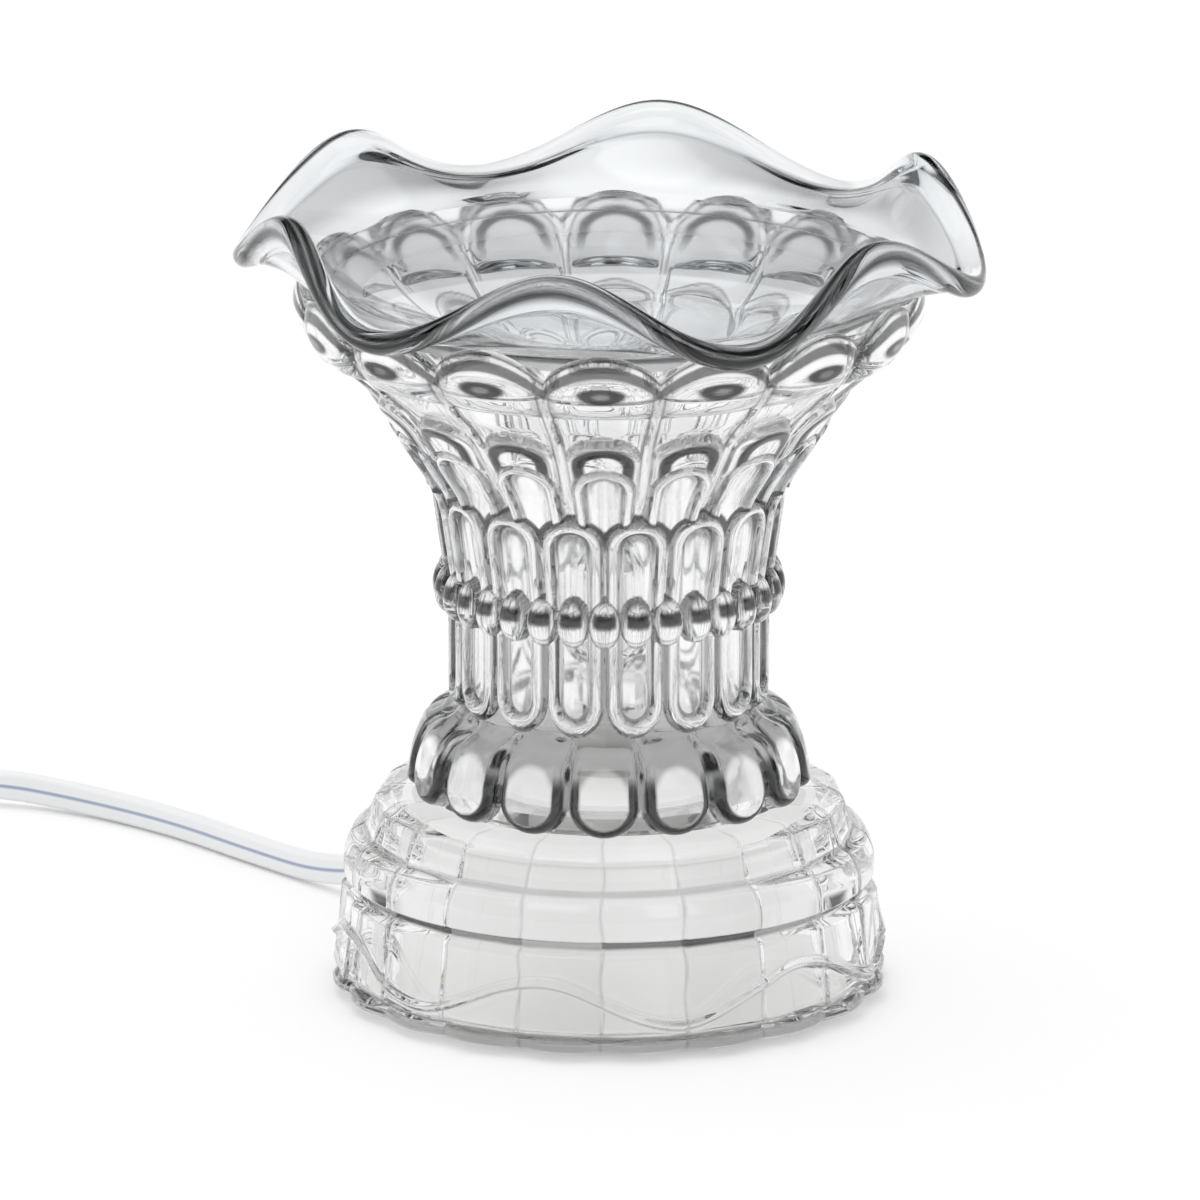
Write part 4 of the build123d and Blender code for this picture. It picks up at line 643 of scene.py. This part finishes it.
def make_dish(glass, ground_glass):
    """Wax dish: a shallow bowl whose rim is drawn into waves, with a seat and a spigot under it."""
    turns = np.arange(DISH_COLUMNS) * 360 / DISH_COLUMNS
    wave = np.cos(np.radians(RUFFLES * (turns - RUFFLE_TURN)))
    shares = np.linspace(0, 1, RIM_ROWS)[:, None]
    grown = shares ** RUFFLE_ONSET
    rise = (RIM_HEIGHT - SHOULDER_HEIGHT) * shares ** RIM_UPTURN
    radius = SHOULDER_RADIUS + (RIM_RADIUS - SHOULDER_RADIUS) * shares - RUFFLE_REACH * wave * grown
    level = DISH_SEAT + SHOULDER_HEIGHT + rise + RUFFLE_RISE * wave * grown
    along_radius = np.gradient(radius, axis=0)
    along_level = np.gradient(level, axis=0)
    along = np.hypot(along_radius, along_level)
    bead = ramp(shares, RIM_BEAD_START, 1)
    half = (DISH_WALL + (RIM_BEAD - DISH_WALL) * bead) / 2
    across_radius = -along_level / along * half
    across_level = along_radius / along * half
    # painted shade: dark streaks round the rim, and a wavy shade on the wall, darker in some directions
    # round it
    rim_shade_phase = 0.9 * np.sin(np.radians(RUFFLES * turns)) + 0.5 * np.sin(np.radians(5 * turns))
    wall_shade_wave = 0.75 - 0.4 * np.cos(np.radians(4 * turns)) + 0.15 * np.sin(np.radians(7 * turns))
    rows = []
    darkness = []

    def row(radius, level, dark=0.0):
        rows.append(round_points(radius, level, turns))
        darkness.append(dark + 0 * turns)

    def rim_dark(bend):
        """Painted shade across the rim's bead: bright inside, a dark line on top, dark streaks outside."""
        top_line = RIM_LINE_DARK * window(bend, 46, 74, 14)
        rim_streak_shade = RIM_DARK + RIM_SWING * np.cos(np.radians(4 * bend) + rim_shade_phase)
        return largest(top_line, rim_streak_shade * ramp(bend, 78, 92))

    floor = DISH_SEAT - DISH_FLOOR_DROP
    for place in (*DISH_FLOOR_RINGS, DISH_FLOOR_RADIUS - 1):
        row(place, floor)
    for share in np.linspace(0.04, 0.94, BOWL_ROWS):
        row(DISH_FLOOR_RADIUS + BOWL_RUN * share, floor + BOWL_RISE * share ** BOWL_CURVE)
    # painted shade on the bowl's wall towards the rim, and a dark line near the bead
    for step, share in enumerate(shares[:, 0]):
        painted_wall_shade = WALL_SHADE_DARK * wall_shade_wave * ramp(share, 0.12, 0.52) * ramp(share, 0.84, 0.79)
        line = INNER_LINE_DARK * window(share, 0.77, 0.81, 0.03)
        row(radius[step] + across_radius[step], level[step] + across_level[step], largest(painted_wall_shade, line))
    for bend in np.linspace(10, 170, RIM_BEAD_ROWS):
        turned = radians(bend)
        row(
            radius[-1] + across_radius[-1] * cos(turned) + across_level[-1] * sin(turned),
            level[-1] + across_level[-1] * cos(turned) - across_radius[-1] * sin(turned),
            rim_dark(bend),
        )
    # painted shade under the rim's bead and on the wall's underside
    for step in reversed(range(RIM_ROWS)):
        under = largest(RIM_UNDER_DARK * bead[step, 0] ** 4, UNDER_WALL_SHADE_DARK * wall_shade_wave)
        row(radius[step] - across_radius[step], level[step] - across_level[step], under)
    seat_start = len(rows) - 3
    for turned in np.radians(np.linspace(24, 84, SEAT_ROWS)):
        row(SEAT_RADIUS + SEAT_ROUNDING * cos(turned), DISH_SEAT + SEAT_RISE * (SEAT_PRESS - sin(turned)))
    seat_end = len(rows) + 1
    for share in np.linspace(0.06, 1, SPIGOT_ROWS):
        drop = SPIGOT_DROP + (DISH_UNDERSIDE_DROP - SPIGOT_DROP) * share ** SPIGOT_CURVE
        row(SPIGOT_RADIUS + (DISH_FLOOR_RADIUS - SPIGOT_RADIUS) * share, DISH_SEAT - drop)
    for place in reversed(DISH_FLOOR_RINGS):
        row(place, DISH_SEAT - DISH_UNDERSIDE_DROP)
    grid = np.array(rows)[:, ::-1]
    piece = ring_mesh("ruffled_dish", grid, "dish", glass, closed=False, dark=np.array(darkness)[:, ::-1])
    surface_rows(piece, ground_glass, DISH_COLUMNS, (seat_start, seat_end))
    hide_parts("wax_dish")


def facet(turns, sides):
    """Radius of a regular polygon as a share of its corner radius, with its corners a little rounded."""
    offset = np.radians(np.abs(turned_offset(turns, FRONT_TURN + 180 / sides, sides)))
    return cos(pi / sides) / np.cos(np.minimum(offset, pi / sides - CORNER_ROUNDING))


def facet_number(turns, sides):
    """Number of the facet at each turn."""
    return np.floor((turns - FRONT_TURN) * sides / 360) % sides


def seam_line(turns, sides, radius, width):
    """1 along the seams between facets, fading out over this width."""
    away = radius * np.radians(np.abs(turned_offset(turns, FRONT_TURN, sides)))
    return np.exp(-((away / width) ** 2))


def ridge_level(turns):
    """Height of the raised line that winds round the lower tier."""
    return RIDGE_HEIGHT + RIDGE_SWING * np.cos(np.radians(RIDGE_WAVES * (turns - RIDGE_TURN)))


def drawn_in(height, edge, run, depth):
    """How far a tier's edge is rounded in, over this run before it."""
    return depth * np.clip(1 - np.abs(edge - height) / run, 0, 1) ** 2


def base_radius(turns, height):
    """Outside radius of the stepped base."""
    middle = turned_offset(turns, FRONT_TURN + 180 / LOWER_SIDES, LOWER_SIDES)
    lobes = np.cos(np.radians(middle) * LOWER_SIDES / 2)
    flange = FLANGE_RADIUS + FLANGE_LOBE * lobes - drawn_in(height, BASE_FOOT, 1.5, 2.6)

    lower_span = LOWER_TOP - FLANGE_TOP
    lower_middle = FLANGE_TOP + lower_span / 2
    lower_seam = seam_line(turns, LOWER_SIDES, LOWER_SEAM_RADIUS, SEAM_WIDTH)
    lower_lean = LOWER_LEAN * np.sin(FACET_STEP * facet_number(turns, LOWER_SIDES))
    lower = (LOWER_RADIUS - LOWER_TAPER * (height - FLANGE_TOP) / lower_span) * facet(turns, LOWER_SIDES)
    lower = lower - SEAM_DEPTH * lower_seam + lower_lean * (height - lower_middle) / (lower_span / 2)
    lower = lower - drawn_in(height, LOWER_TOP, 2.2, 2.4)
    lower = lower + RIDGE_RELIEF * np.exp(-(((height - ridge_level(turns)) / RIDGE_WIDTH) ** 2))
    foot_groove = np.minimum(flange, lower) - FOOT_GROOVE_DEPTH

    along_ring = np.clip((height - RING_FOOT) / (RING_TOP - RING_FOOT), 0, 1)
    ring = RING_RADIUS - RING_TAPER * along_ring + RING_BULGE * np.sin(pi * along_ring)
    ring = ring - RING_SEAM_DEPTH * lower_seam - drawn_in(height, RING_TOP, 1.8, 1.8)

    upper_seam = seam_line(turns, UPPER_SIDES, UPPER_SEAM_RADIUS, SEAM_WIDTH)
    upper_lean = UPPER_LEAN * np.sin(FACET_STEP * facet_number(turns, UPPER_SIDES) + 1)
    upper_taper = UPPER_TAPER * (height - UPPER_FOOT) / (BASE_TOP - UPPER_FOOT)
    upper = (UPPER_RADIUS - upper_taper) * facet(turns, UPPER_SIDES) - SEAM_DEPTH * upper_seam
    upper = upper + upper_lean * (height - UPPER_MIDDLE) / UPPER_HALF - drawn_in(height, BASE_TOP, 2.3, 2.4)

    tops = (FOOT_GROOVE_LOW, FOOT_GROOVE_HIGH, LOWER_TOP, RING_FOOT, RING_TOP)
    tiers = (flange, foot_groove, lower, GROOVE_RADIUS + 0 * turns, ring)
    return np.select([height < top for top in tops], tiers, upper)


def base_painted_shade(turns, height):
    """Shade painted on the base: on its facets, along its seams and groove, under the ridge and at its
    steps.
    """
    number = facet_number(turns, LOWER_SIDES)
    nearest_seam = np.round((turns - FRONT_TURN) * LOWER_SIDES / 360)
    wandered = turns + WANDER * np.sin(WANDER_WAVE * height + WANDER_STEP * nearest_seam)
    seam = SEAM_DARK * seam_line(wandered, LOWER_SIDES, LOWER_SEAM_RADIUS, SEAM_LINE_WIDTH)
    across = turned_offset(wandered, FRONT_TURN + 180 / LOWER_SIDES, LOWER_SIDES) * LOWER_SIDES / 180
    # painted shade: each facet a little darker towards one side, by an amount that changes from facet to
    # facet
    uneven = np.sin(FACET_STEP * number + 0.7 * (height >= RING_FOOT))
    facets = FACET_DARK + FACET_SWING * uneven * (1 + across)
    belly = BELLY_DARK * window(height, 8, 17, 6)
    groove = GROOVE_DARK + GROOVE_SWING * np.sin(1.7 * number)
    ridge = ridge_level(turns)
    # painted shade in the groove, under the raised line, at the steps and below the top shoulder
    return largest(
        seam + facets + belly,
        groove * window(height, LOWER_TOP - 0.4, RING_FOOT + 0.3, 0.6),
        RIDGE_DARK * window(height, ridge - 1.1, ridge - 0.5, 0.4),
        STEP_DARK * window(height, FLANGE_TOP - 0.7, FLANGE_TOP + 0.2, 0.4),
        STEP_DARK * window(height, RING_TOP - 0.6, RING_TOP + 0.4, 0.5),
        SHOULDER_DARK * window(height, BASE_TOP - 3.5, BASE_TOP - 2.1, 0.6),
    )


def make_base(glass, paint, foot_glass):
    """Clear base: faceted tiers, a smooth ring and a winding raised line, hollow with a white ceiling."""
    turns = np.arange(BASE_COLUMNS)[None, :] * 360 / BASE_COLUMNS
    height = np.linspace(BASE_FOOT, BASE_TOP, BASE_ROWS)[:, None]
    step = height[1, 0] - height[0, 0]
    shifted = [np.clip(height + shift * step, BASE_FOOT, BASE_TOP) for shift in (-1.5, -0.5, 0.5, 1.5)]
    outer = np.mean([base_radius(turns, place) for place in shifted], axis=0)
    rows = [round_points(outer, height, turns)]
    inner = (
        (BOSS_RADIUS, BASE_TOP), (BOSS_RADIUS, BOSS_TOP), (BOSS_HOLE, BOSS_TOP), (BOSS_HOLE, CEILING_HEIGHT),
        (CEILING_RADIUS, CEILING_HEIGHT), (HOLLOW_RADIUS, COVER_SEAT), (COVER_RADIUS, COVER_SEAT),
        (COVER_RADIUS, BASE_FOOT),
    )
    grid = np.concatenate(rows + [round_points(place, level, turns) for place, level in inner])
    # painted shade on the base's outside, kept on its points
    piece = ring_mesh("stepped_base", grid, "base", glass, dark=base_painted_shade(turns, height))
    ceiling = BASE_ROWS + inner.index((BOSS_HOLE, CEILING_HEIGHT))
    surface_rows(piece, paint, BASE_COLUMNS, (ceiling, ceiling + 1))
    foot_rows = int(np.count_nonzero(height < FLANGE_TOP))
    surface_rows(piece, foot_glass, BASE_COLUMNS, (0, foot_rows), (len(grid) - 2, len(grid)))
    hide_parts("base_shell")


def spline_points(name, route):
    """Points along a smooth line whose control points are this route, in metres."""
    data = bpy.data.curves.new(name, "CURVE")
    data.dimensions = "3D"
    data.resolution_u = 10
    spline = data.splines.new("NURBS")
    spline.points.add(len(route) - 1)
    for point, place in zip(spline.points, route):
        point.co = (*[value * MM for value in place], 1)
    spline.order_u = 3
    spline.use_endpoint_u = True
    line = bpy.data.objects.new(name, data)
    mesh = bpy.data.meshes.new_from_object(line)
    points = [vertex.co.copy() for vertex in mesh.vertices]
    bpy.data.objects.remove(line)
    return points


def flat_cord(name, route, surface):
    """Flat twin cord that stands on edge along a route, with a groove between its two cores."""
    path = spline_points(name + "_line", route)
    around = np.linspace(0, 2 * pi, CORD_SIDES, endpoint=False)
    core = CORD_THICKNESS / 2
    level = np.sign(np.sin(around)) * (CORD_WIDTH / 2 - core) + core * np.sin(around)
    groove = CORD_GROOVE_DEPTH * np.exp(-((level / CORD_GROOVE_WIDTH) ** 2))
    width = core * np.cos(around) - np.sign(np.cos(around)) * groove
    rings = []
    for number, point in enumerate(path):
        ahead = path[min(number + 1, len(path) - 1)] - path[max(number - 1, 0)]
        across = Vector((0, 0, 1)).cross(ahead).normalized()
        up = ahead.cross(across).normalized()
        rings.append([point / MM + across * w + up * h for w, h in zip(width, level)])
    piece = ring_mesh(name, np.array(rings), "base", surface, closed=False)
    layer = piece.data.attributes.new("across", "FLOAT", "POINT")
    layer.data.foreach_set("value", np.tile(level, len(path)).astype(np.float32))
    return piece, path


def cord_surface():
    """White vinyl with a blue-grey line in the groove."""
    made = material("white cord vinyl", (0.9, 0.905, 0.915), 0.35, 0.02, 90.0)
    tree = made.node_tree
    shader = tree.nodes["Principled BSDF"]
    vinyl = shader.inputs["Base Color"].links[0].from_socket
    across = tree.nodes.new("ShaderNodeAttribute")
    across.attribute_name = "across"
    line = tree.nodes.new("ShaderNodeMapRange")
    line.inputs["From Min"].default_value = CORD_LINE_FULL
    line.inputs["From Max"].default_value = CORD_LINE_END
    tree.links.new(calculated(tree, "ABSOLUTE", across.outputs["Fac"]), line.inputs["Value"])
    lined = color_mix(tree, line.outputs["Result"], (0.36, 0.42, 0.56, 1), vinyl)
    tree.links.new(lined, shader.inputs["Base Color"])
    return made


def coil_route():
    """Control points of the coil: in on the lower layer, up where it turns back, out on the upper layer."""
    turns_each_way = COIL_TURNS + 0.25
    start_radius = COIL_RADIUS + COIL_PITCH * turns_each_way / 2
    middle = Vector(COIL_START) - Vector((COIL_TAIL, start_radius, 0))
    route = [COIL_START]
    for number in range(int(2 * COIL_POINTS * turns_each_way)):
        turned = (number + 0.5) / COIL_POINTS
        inward = COIL_PITCH * (turns_each_way - abs(turns_each_way - turned))
        radius = (start_radius - inward) / cos(pi / COIL_POINTS)
        climb = min(max((turned - COIL_TURNS) * 2, 0), 1)
        angle = pi / 2 + 2 * pi * turned
        route.append((
            middle.x + radius * cos(angle),
            middle.y + radius * sin(angle),
            COIL_START[2] + COIL_LAYER * (1 - cos(pi * climb)) / 2,
        ))
    route.append((middle.x + COIL_LEAD, middle.y - start_radius, COIL_START[2] + COIL_LAYER))
    return route


def make_cords():
    """Cord from the base to the switch, and from the switch through its coil to the plug."""
    vinyl = cord_surface()
    lead, lead_path = flat_cord("cord_to_switch", LEAD_ROUTE, vinyl)
    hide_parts("cord_lead")
    coil, coil_path = flat_cord("coiled_cord", coil_route(), vinyl)
    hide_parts("cord_coil")


def liner_surface():
    """White liner whose lower wall is painted a greyer white, as painted shade."""
    made = material("white liner", (0.94, 0.94, 0.935), 0.8, 0.02, 40.0)
    tree = made.node_tree
    shader = tree.nodes["Principled BSDF"]
    white = shader.inputs["Base Color"].links[0].from_socket
    place = tree.nodes.new("ShaderNodeTexCoord")
    split = tree.nodes.new("ShaderNodeSeparateXYZ")
    tree.links.new(place.outputs["Object"], split.inputs["Vector"])
    band = tree.nodes.new("ShaderNodeMapRange")
    band.interpolation_type = "SMOOTHSTEP"
    band.inputs["From Min"].default_value = (LINER_BAND - LINER_BAND_SOFTNESS) * MM
    band.inputs["From Max"].default_value = (LINER_BAND + LINER_BAND_SOFTNESS) * MM
    tree.links.new(split.outputs["Z"], band.inputs["Value"])
    # painted shade: the lower wall greyer than the white above it
    shaded_lower_wall = color_mix(tree, band.outputs["Result"], (0.88, 0.88, 0.87, 1), white)
    tree.links.new(shaded_lower_wall, shader.inputs["Base Color"])
    return made


def dress_fittings():
    """Materials of the pieces that keep their solid's own shape."""
    surfaces = {
        "white_plastic": material("white moulded plastic", (0.84, 0.84, 0.83), 0.42),
        "white_cord": material("core insulation", (0.82, 0.82, 0.81), 0.4),
        "white_ceramic": material("glazed ceramic", (0.88, 0.87, 0.85), 0.18),
        "white_plate": material("white enamel", (0.88, 0.88, 0.875), 0.25),
        "steel": material("bright steel", (0.6, 0.61, 0.63), 0.3, 0.06, 200.0, 1.0),
        "brass": material("plain brass", (0.76, 0.6, 0.3), 0.28, 0.06, 160.0, 1.0),
        "rubber": material("pale rubber", (0.7, 0.7, 0.69), 0.7),
    }
    liner = liner_surface()
    for part in frame["record"]["subparts"]:
        node = frame["nodes"][part["node"]]
        surface = liner if part["node"] == "wiring_liner" else surfaces.get(part["material_slot"])
        if surface:
            node.data.materials.clear()
            node.data.materials.append(surface)
        node.data.shade_smooth()
        node.data.set_sharp_from_angle(angle=radians(FITTING_SHARP_ANGLE))


def make_camera():
    """Camera at the photograph's place."""
    data = bpy.data.cameras.new("camera")
    data.sensor_width = SENSOR_WIDTH
    data.lens = SENSOR_WIDTH * PHOTO_SCALE * CAMERA_DISTANCE / PHOTO_SIZE
    data.clip_end = CAMERA_REACH
    camera = bpy.data.objects.new("camera", data)
    tilt = radians(CAMERA_ELEVATION)
    back = Vector((0, -cos(tilt), sin(tilt))) * CAMERA_DISTANCE
    camera.location = (Vector(CAMERA_AIM) + back) * MM
    camera.rotation_euler = (pi / 2 - tilt, 0, 0)
    bpy.context.scene.collection.objects.link(camera)
    bpy.context.scene.camera = camera


def soft_box_mask():
    """Node group: mask of a soft-edged box of directions, in degrees round from the back and up."""
    group = bpy.data.node_groups.new("soft box", "ShaderNodeTree")
    for name in ("Round", "Up", *BOX_SIZES):
        group.interface.new_socket(name, in_out="INPUT", socket_type="NodeSocketFloat")
    group.interface.new_socket("Mask", in_out="OUTPUT", socket_type="NodeSocketFloat")
    given = group.nodes.new("NodeGroupInput").outputs
    result = group.nodes.new("NodeGroupOutput").inputs

    def inside(along, middle, half):
        away = calculated(group, "ABSOLUTE", calculated(group, "SUBTRACT", given[along], given[middle]))
        fade = group.nodes.new("ShaderNodeMapRange")
        fade.interpolation_type = "SMOOTHSTEP"
        group.links.new(away, fade.inputs["Value"])
        group.links.new(calculated(group, "ADD", given[half], given["Softness"]), fade.inputs["From Min"])
        group.links.new(given[half], fade.inputs["From Max"])
        return fade.outputs["Result"]

    across = inside("Round", "Box Round", "Half Width")
    upright = inside("Up", "Box Up", "Half Height")
    group.links.new(calculated(group, "MULTIPLY", across, upright), result["Mask"])
    return group


def studio_world():
    """Even dome light for surfaces, soft boxes for clear and bright pieces, and a white backdrop."""
    world = bpy.data.worlds.new("studio")
    bpy.context.scene.world = world
    world.use_nodes = True
    tree = world.node_tree
    nodes = tree.nodes
    nodes.clear()
    place = nodes.new("ShaderNodeTexCoord")
    split = nodes.new("ShaderNodeSeparateXYZ")
    tree.links.new(place.outputs["Generated"], split.inputs["Vector"])
    way = split.outputs
    round_back = calculated(tree, "DEGREES", calculated(tree, "ARCTAN2", way["X"], way["Y"]))
    upward = calculated(tree, "DEGREES", calculated(tree, "ARCSINE", way["Z"]))
    mask_group = soft_box_mask()
    brightest = FLAG_BRIGHTNESS
    for *sizes, strength in SOFT_BOXES:
        box = nodes.new("ShaderNodeGroup")
        box.node_tree = mask_group
        tree.links.new(round_back, box.inputs["Round"])
        tree.links.new(upward, box.inputs["Up"])
        for name, size in zip(BOX_SIZES, sizes):
            box.inputs[name].default_value = size
        bright = calculated(tree, "MULTIPLY", box.outputs["Mask"], strength)
        brightest = calculated(tree, "MAXIMUM", bright, brightest)

    def background(color, strength):
        made = nodes.new("ShaderNodeBackground")
        made.inputs["Color"].default_value = (*color, 1)
        feed(tree, made.inputs["Strength"], strength)
        return made.outputs["Background"]

    path = nodes.new("ShaderNodeLightPath").outputs
    seen = calculated(tree, "MAXIMUM", path["Is Glossy Ray"], path["Is Transmission Ray"])
    light = shader_mix(tree, seen, background((1, 1, 1), DOME_LIGHT), background(BOX_COLOR, brightest))
    shown = shader_mix(tree, path["Is Camera Ray"], light, background((1, 1, 1), 1.0))
    output = nodes.new("ShaderNodeOutputWorld")
    tree.links.new(shown, output.inputs["Surface"])


def floor_surface():
    """Pale floor that shows white where it is looked at, directly or through glass, and keeps shadows."""
    made = material("pale floor", (0.9, 0.9, 0.9), 0.9, 0.004, 3.0)
    tree = made.node_tree
    path = tree.nodes.new("ShaderNodeLightPath").outputs
    seen = calculated(tree, "MAXIMUM", path["Is Glossy Ray"], path["Is Transmission Ray"])
    looked_at = calculated(tree, "MAXIMUM", path["Is Camera Ray"], seen)
    shader = tree.nodes["Principled BSDF"]
    shader.inputs["Emission Color"].default_value = (1, 1, 1, 1)
    glow = calculated(tree, "MULTIPLY", looked_at, FLOOR_GLOW)
    tree.links.new(glow, shader.inputs["Emission Strength"])
    return made


def make_studio():
    """Pale floor and a soft key light from above, behind and to the left."""
    floor_mesh = bpy.data.meshes.new("floor")
    corners = [
        (-FLOOR_HALF_WIDTH, FLOOR_FRONT, 0), (FLOOR_HALF_WIDTH, FLOOR_FRONT, 0),
        (FLOOR_HALF_WIDTH, FLOOR_BACK, 0), (-FLOOR_HALF_WIDTH, FLOOR_BACK, 0),
    ]
    floor_mesh.from_pydata(corners, [], [(0, 1, 2, 3)])
    floor_mesh.materials.append(floor_surface())
    floor = bpy.data.objects.new("floor", floor_mesh)
    bpy.context.scene.collection.objects.link(floor)
    light = bpy.data.lights.new("key", "AREA")
    light.shape = "DISK"
    light.size = KEY_SIZE
    light.energy = KEY_POWER
    key = bpy.data.objects.new("key", light)
    key.location = KEY_PLACE
    key.rotation_euler = (Vector(KEY_AIM) - key.location).to_track_quat("-Z", "Y").to_euler()
    key.visible_glossy = False
    key.visible_transmission = False
    bpy.context.scene.collection.objects.link(key)
    bpy.context.scene.view_settings.view_transform = "Standard"
    cycles = bpy.context.scene.cycles
    cycles.max_bounces = GLASS_BOUNCES
    cycles.transmission_bounces = GLASS_BOUNCES
    cycles.glossy_bounces = GLOSSY_BOUNCES
    cycles.transparent_max_bounces = SHADOW_BOUNCES
    cycles.caustics_reflective = False
    cycles.caustics_refractive = False


make_camera()
make_cords()
studio_world()
make_studio()
dress_fittings()
waviness = pressed_waviness()
base_tint = (0.99, 0.99, 0.988)
shade_tint = (0.985, 0.985, 0.985)
make_base(
    clear_glass("base glass", waviness, 40.0, 0.12, base_tint, shadow=0.985),
    material("white under-paint", (0.93, 0.93, 0.925), 0.8),
    clear_glass("base foot glass", waviness, 40.0, 0.12, base_tint, shadow=0.7),
)
make_shade(
    clear_glass("shade glass", waviness, 60.0, 0.08, shade_tint),
    clear_glass("shade bore glass", waviness, 60.0, 0.08, shade_tint, roughness=0.08),
)
make_dish(
    clear_glass("dish glass", waviness, 30.0, 0.1, (0.915, 0.935, 0.95)),
    clear_glass("ground seat glass", waviness, 30.0, 0.1, shade_tint, roughness=0.3),
)
capsule = frame["nodes"]["lamp_capsule"]
capsule.data.materials.clear()
capsule.data.materials.append(clear_glass("lamp glass", waviness, 80.0, 0.02, (0.96, 0.96, 0.96)))
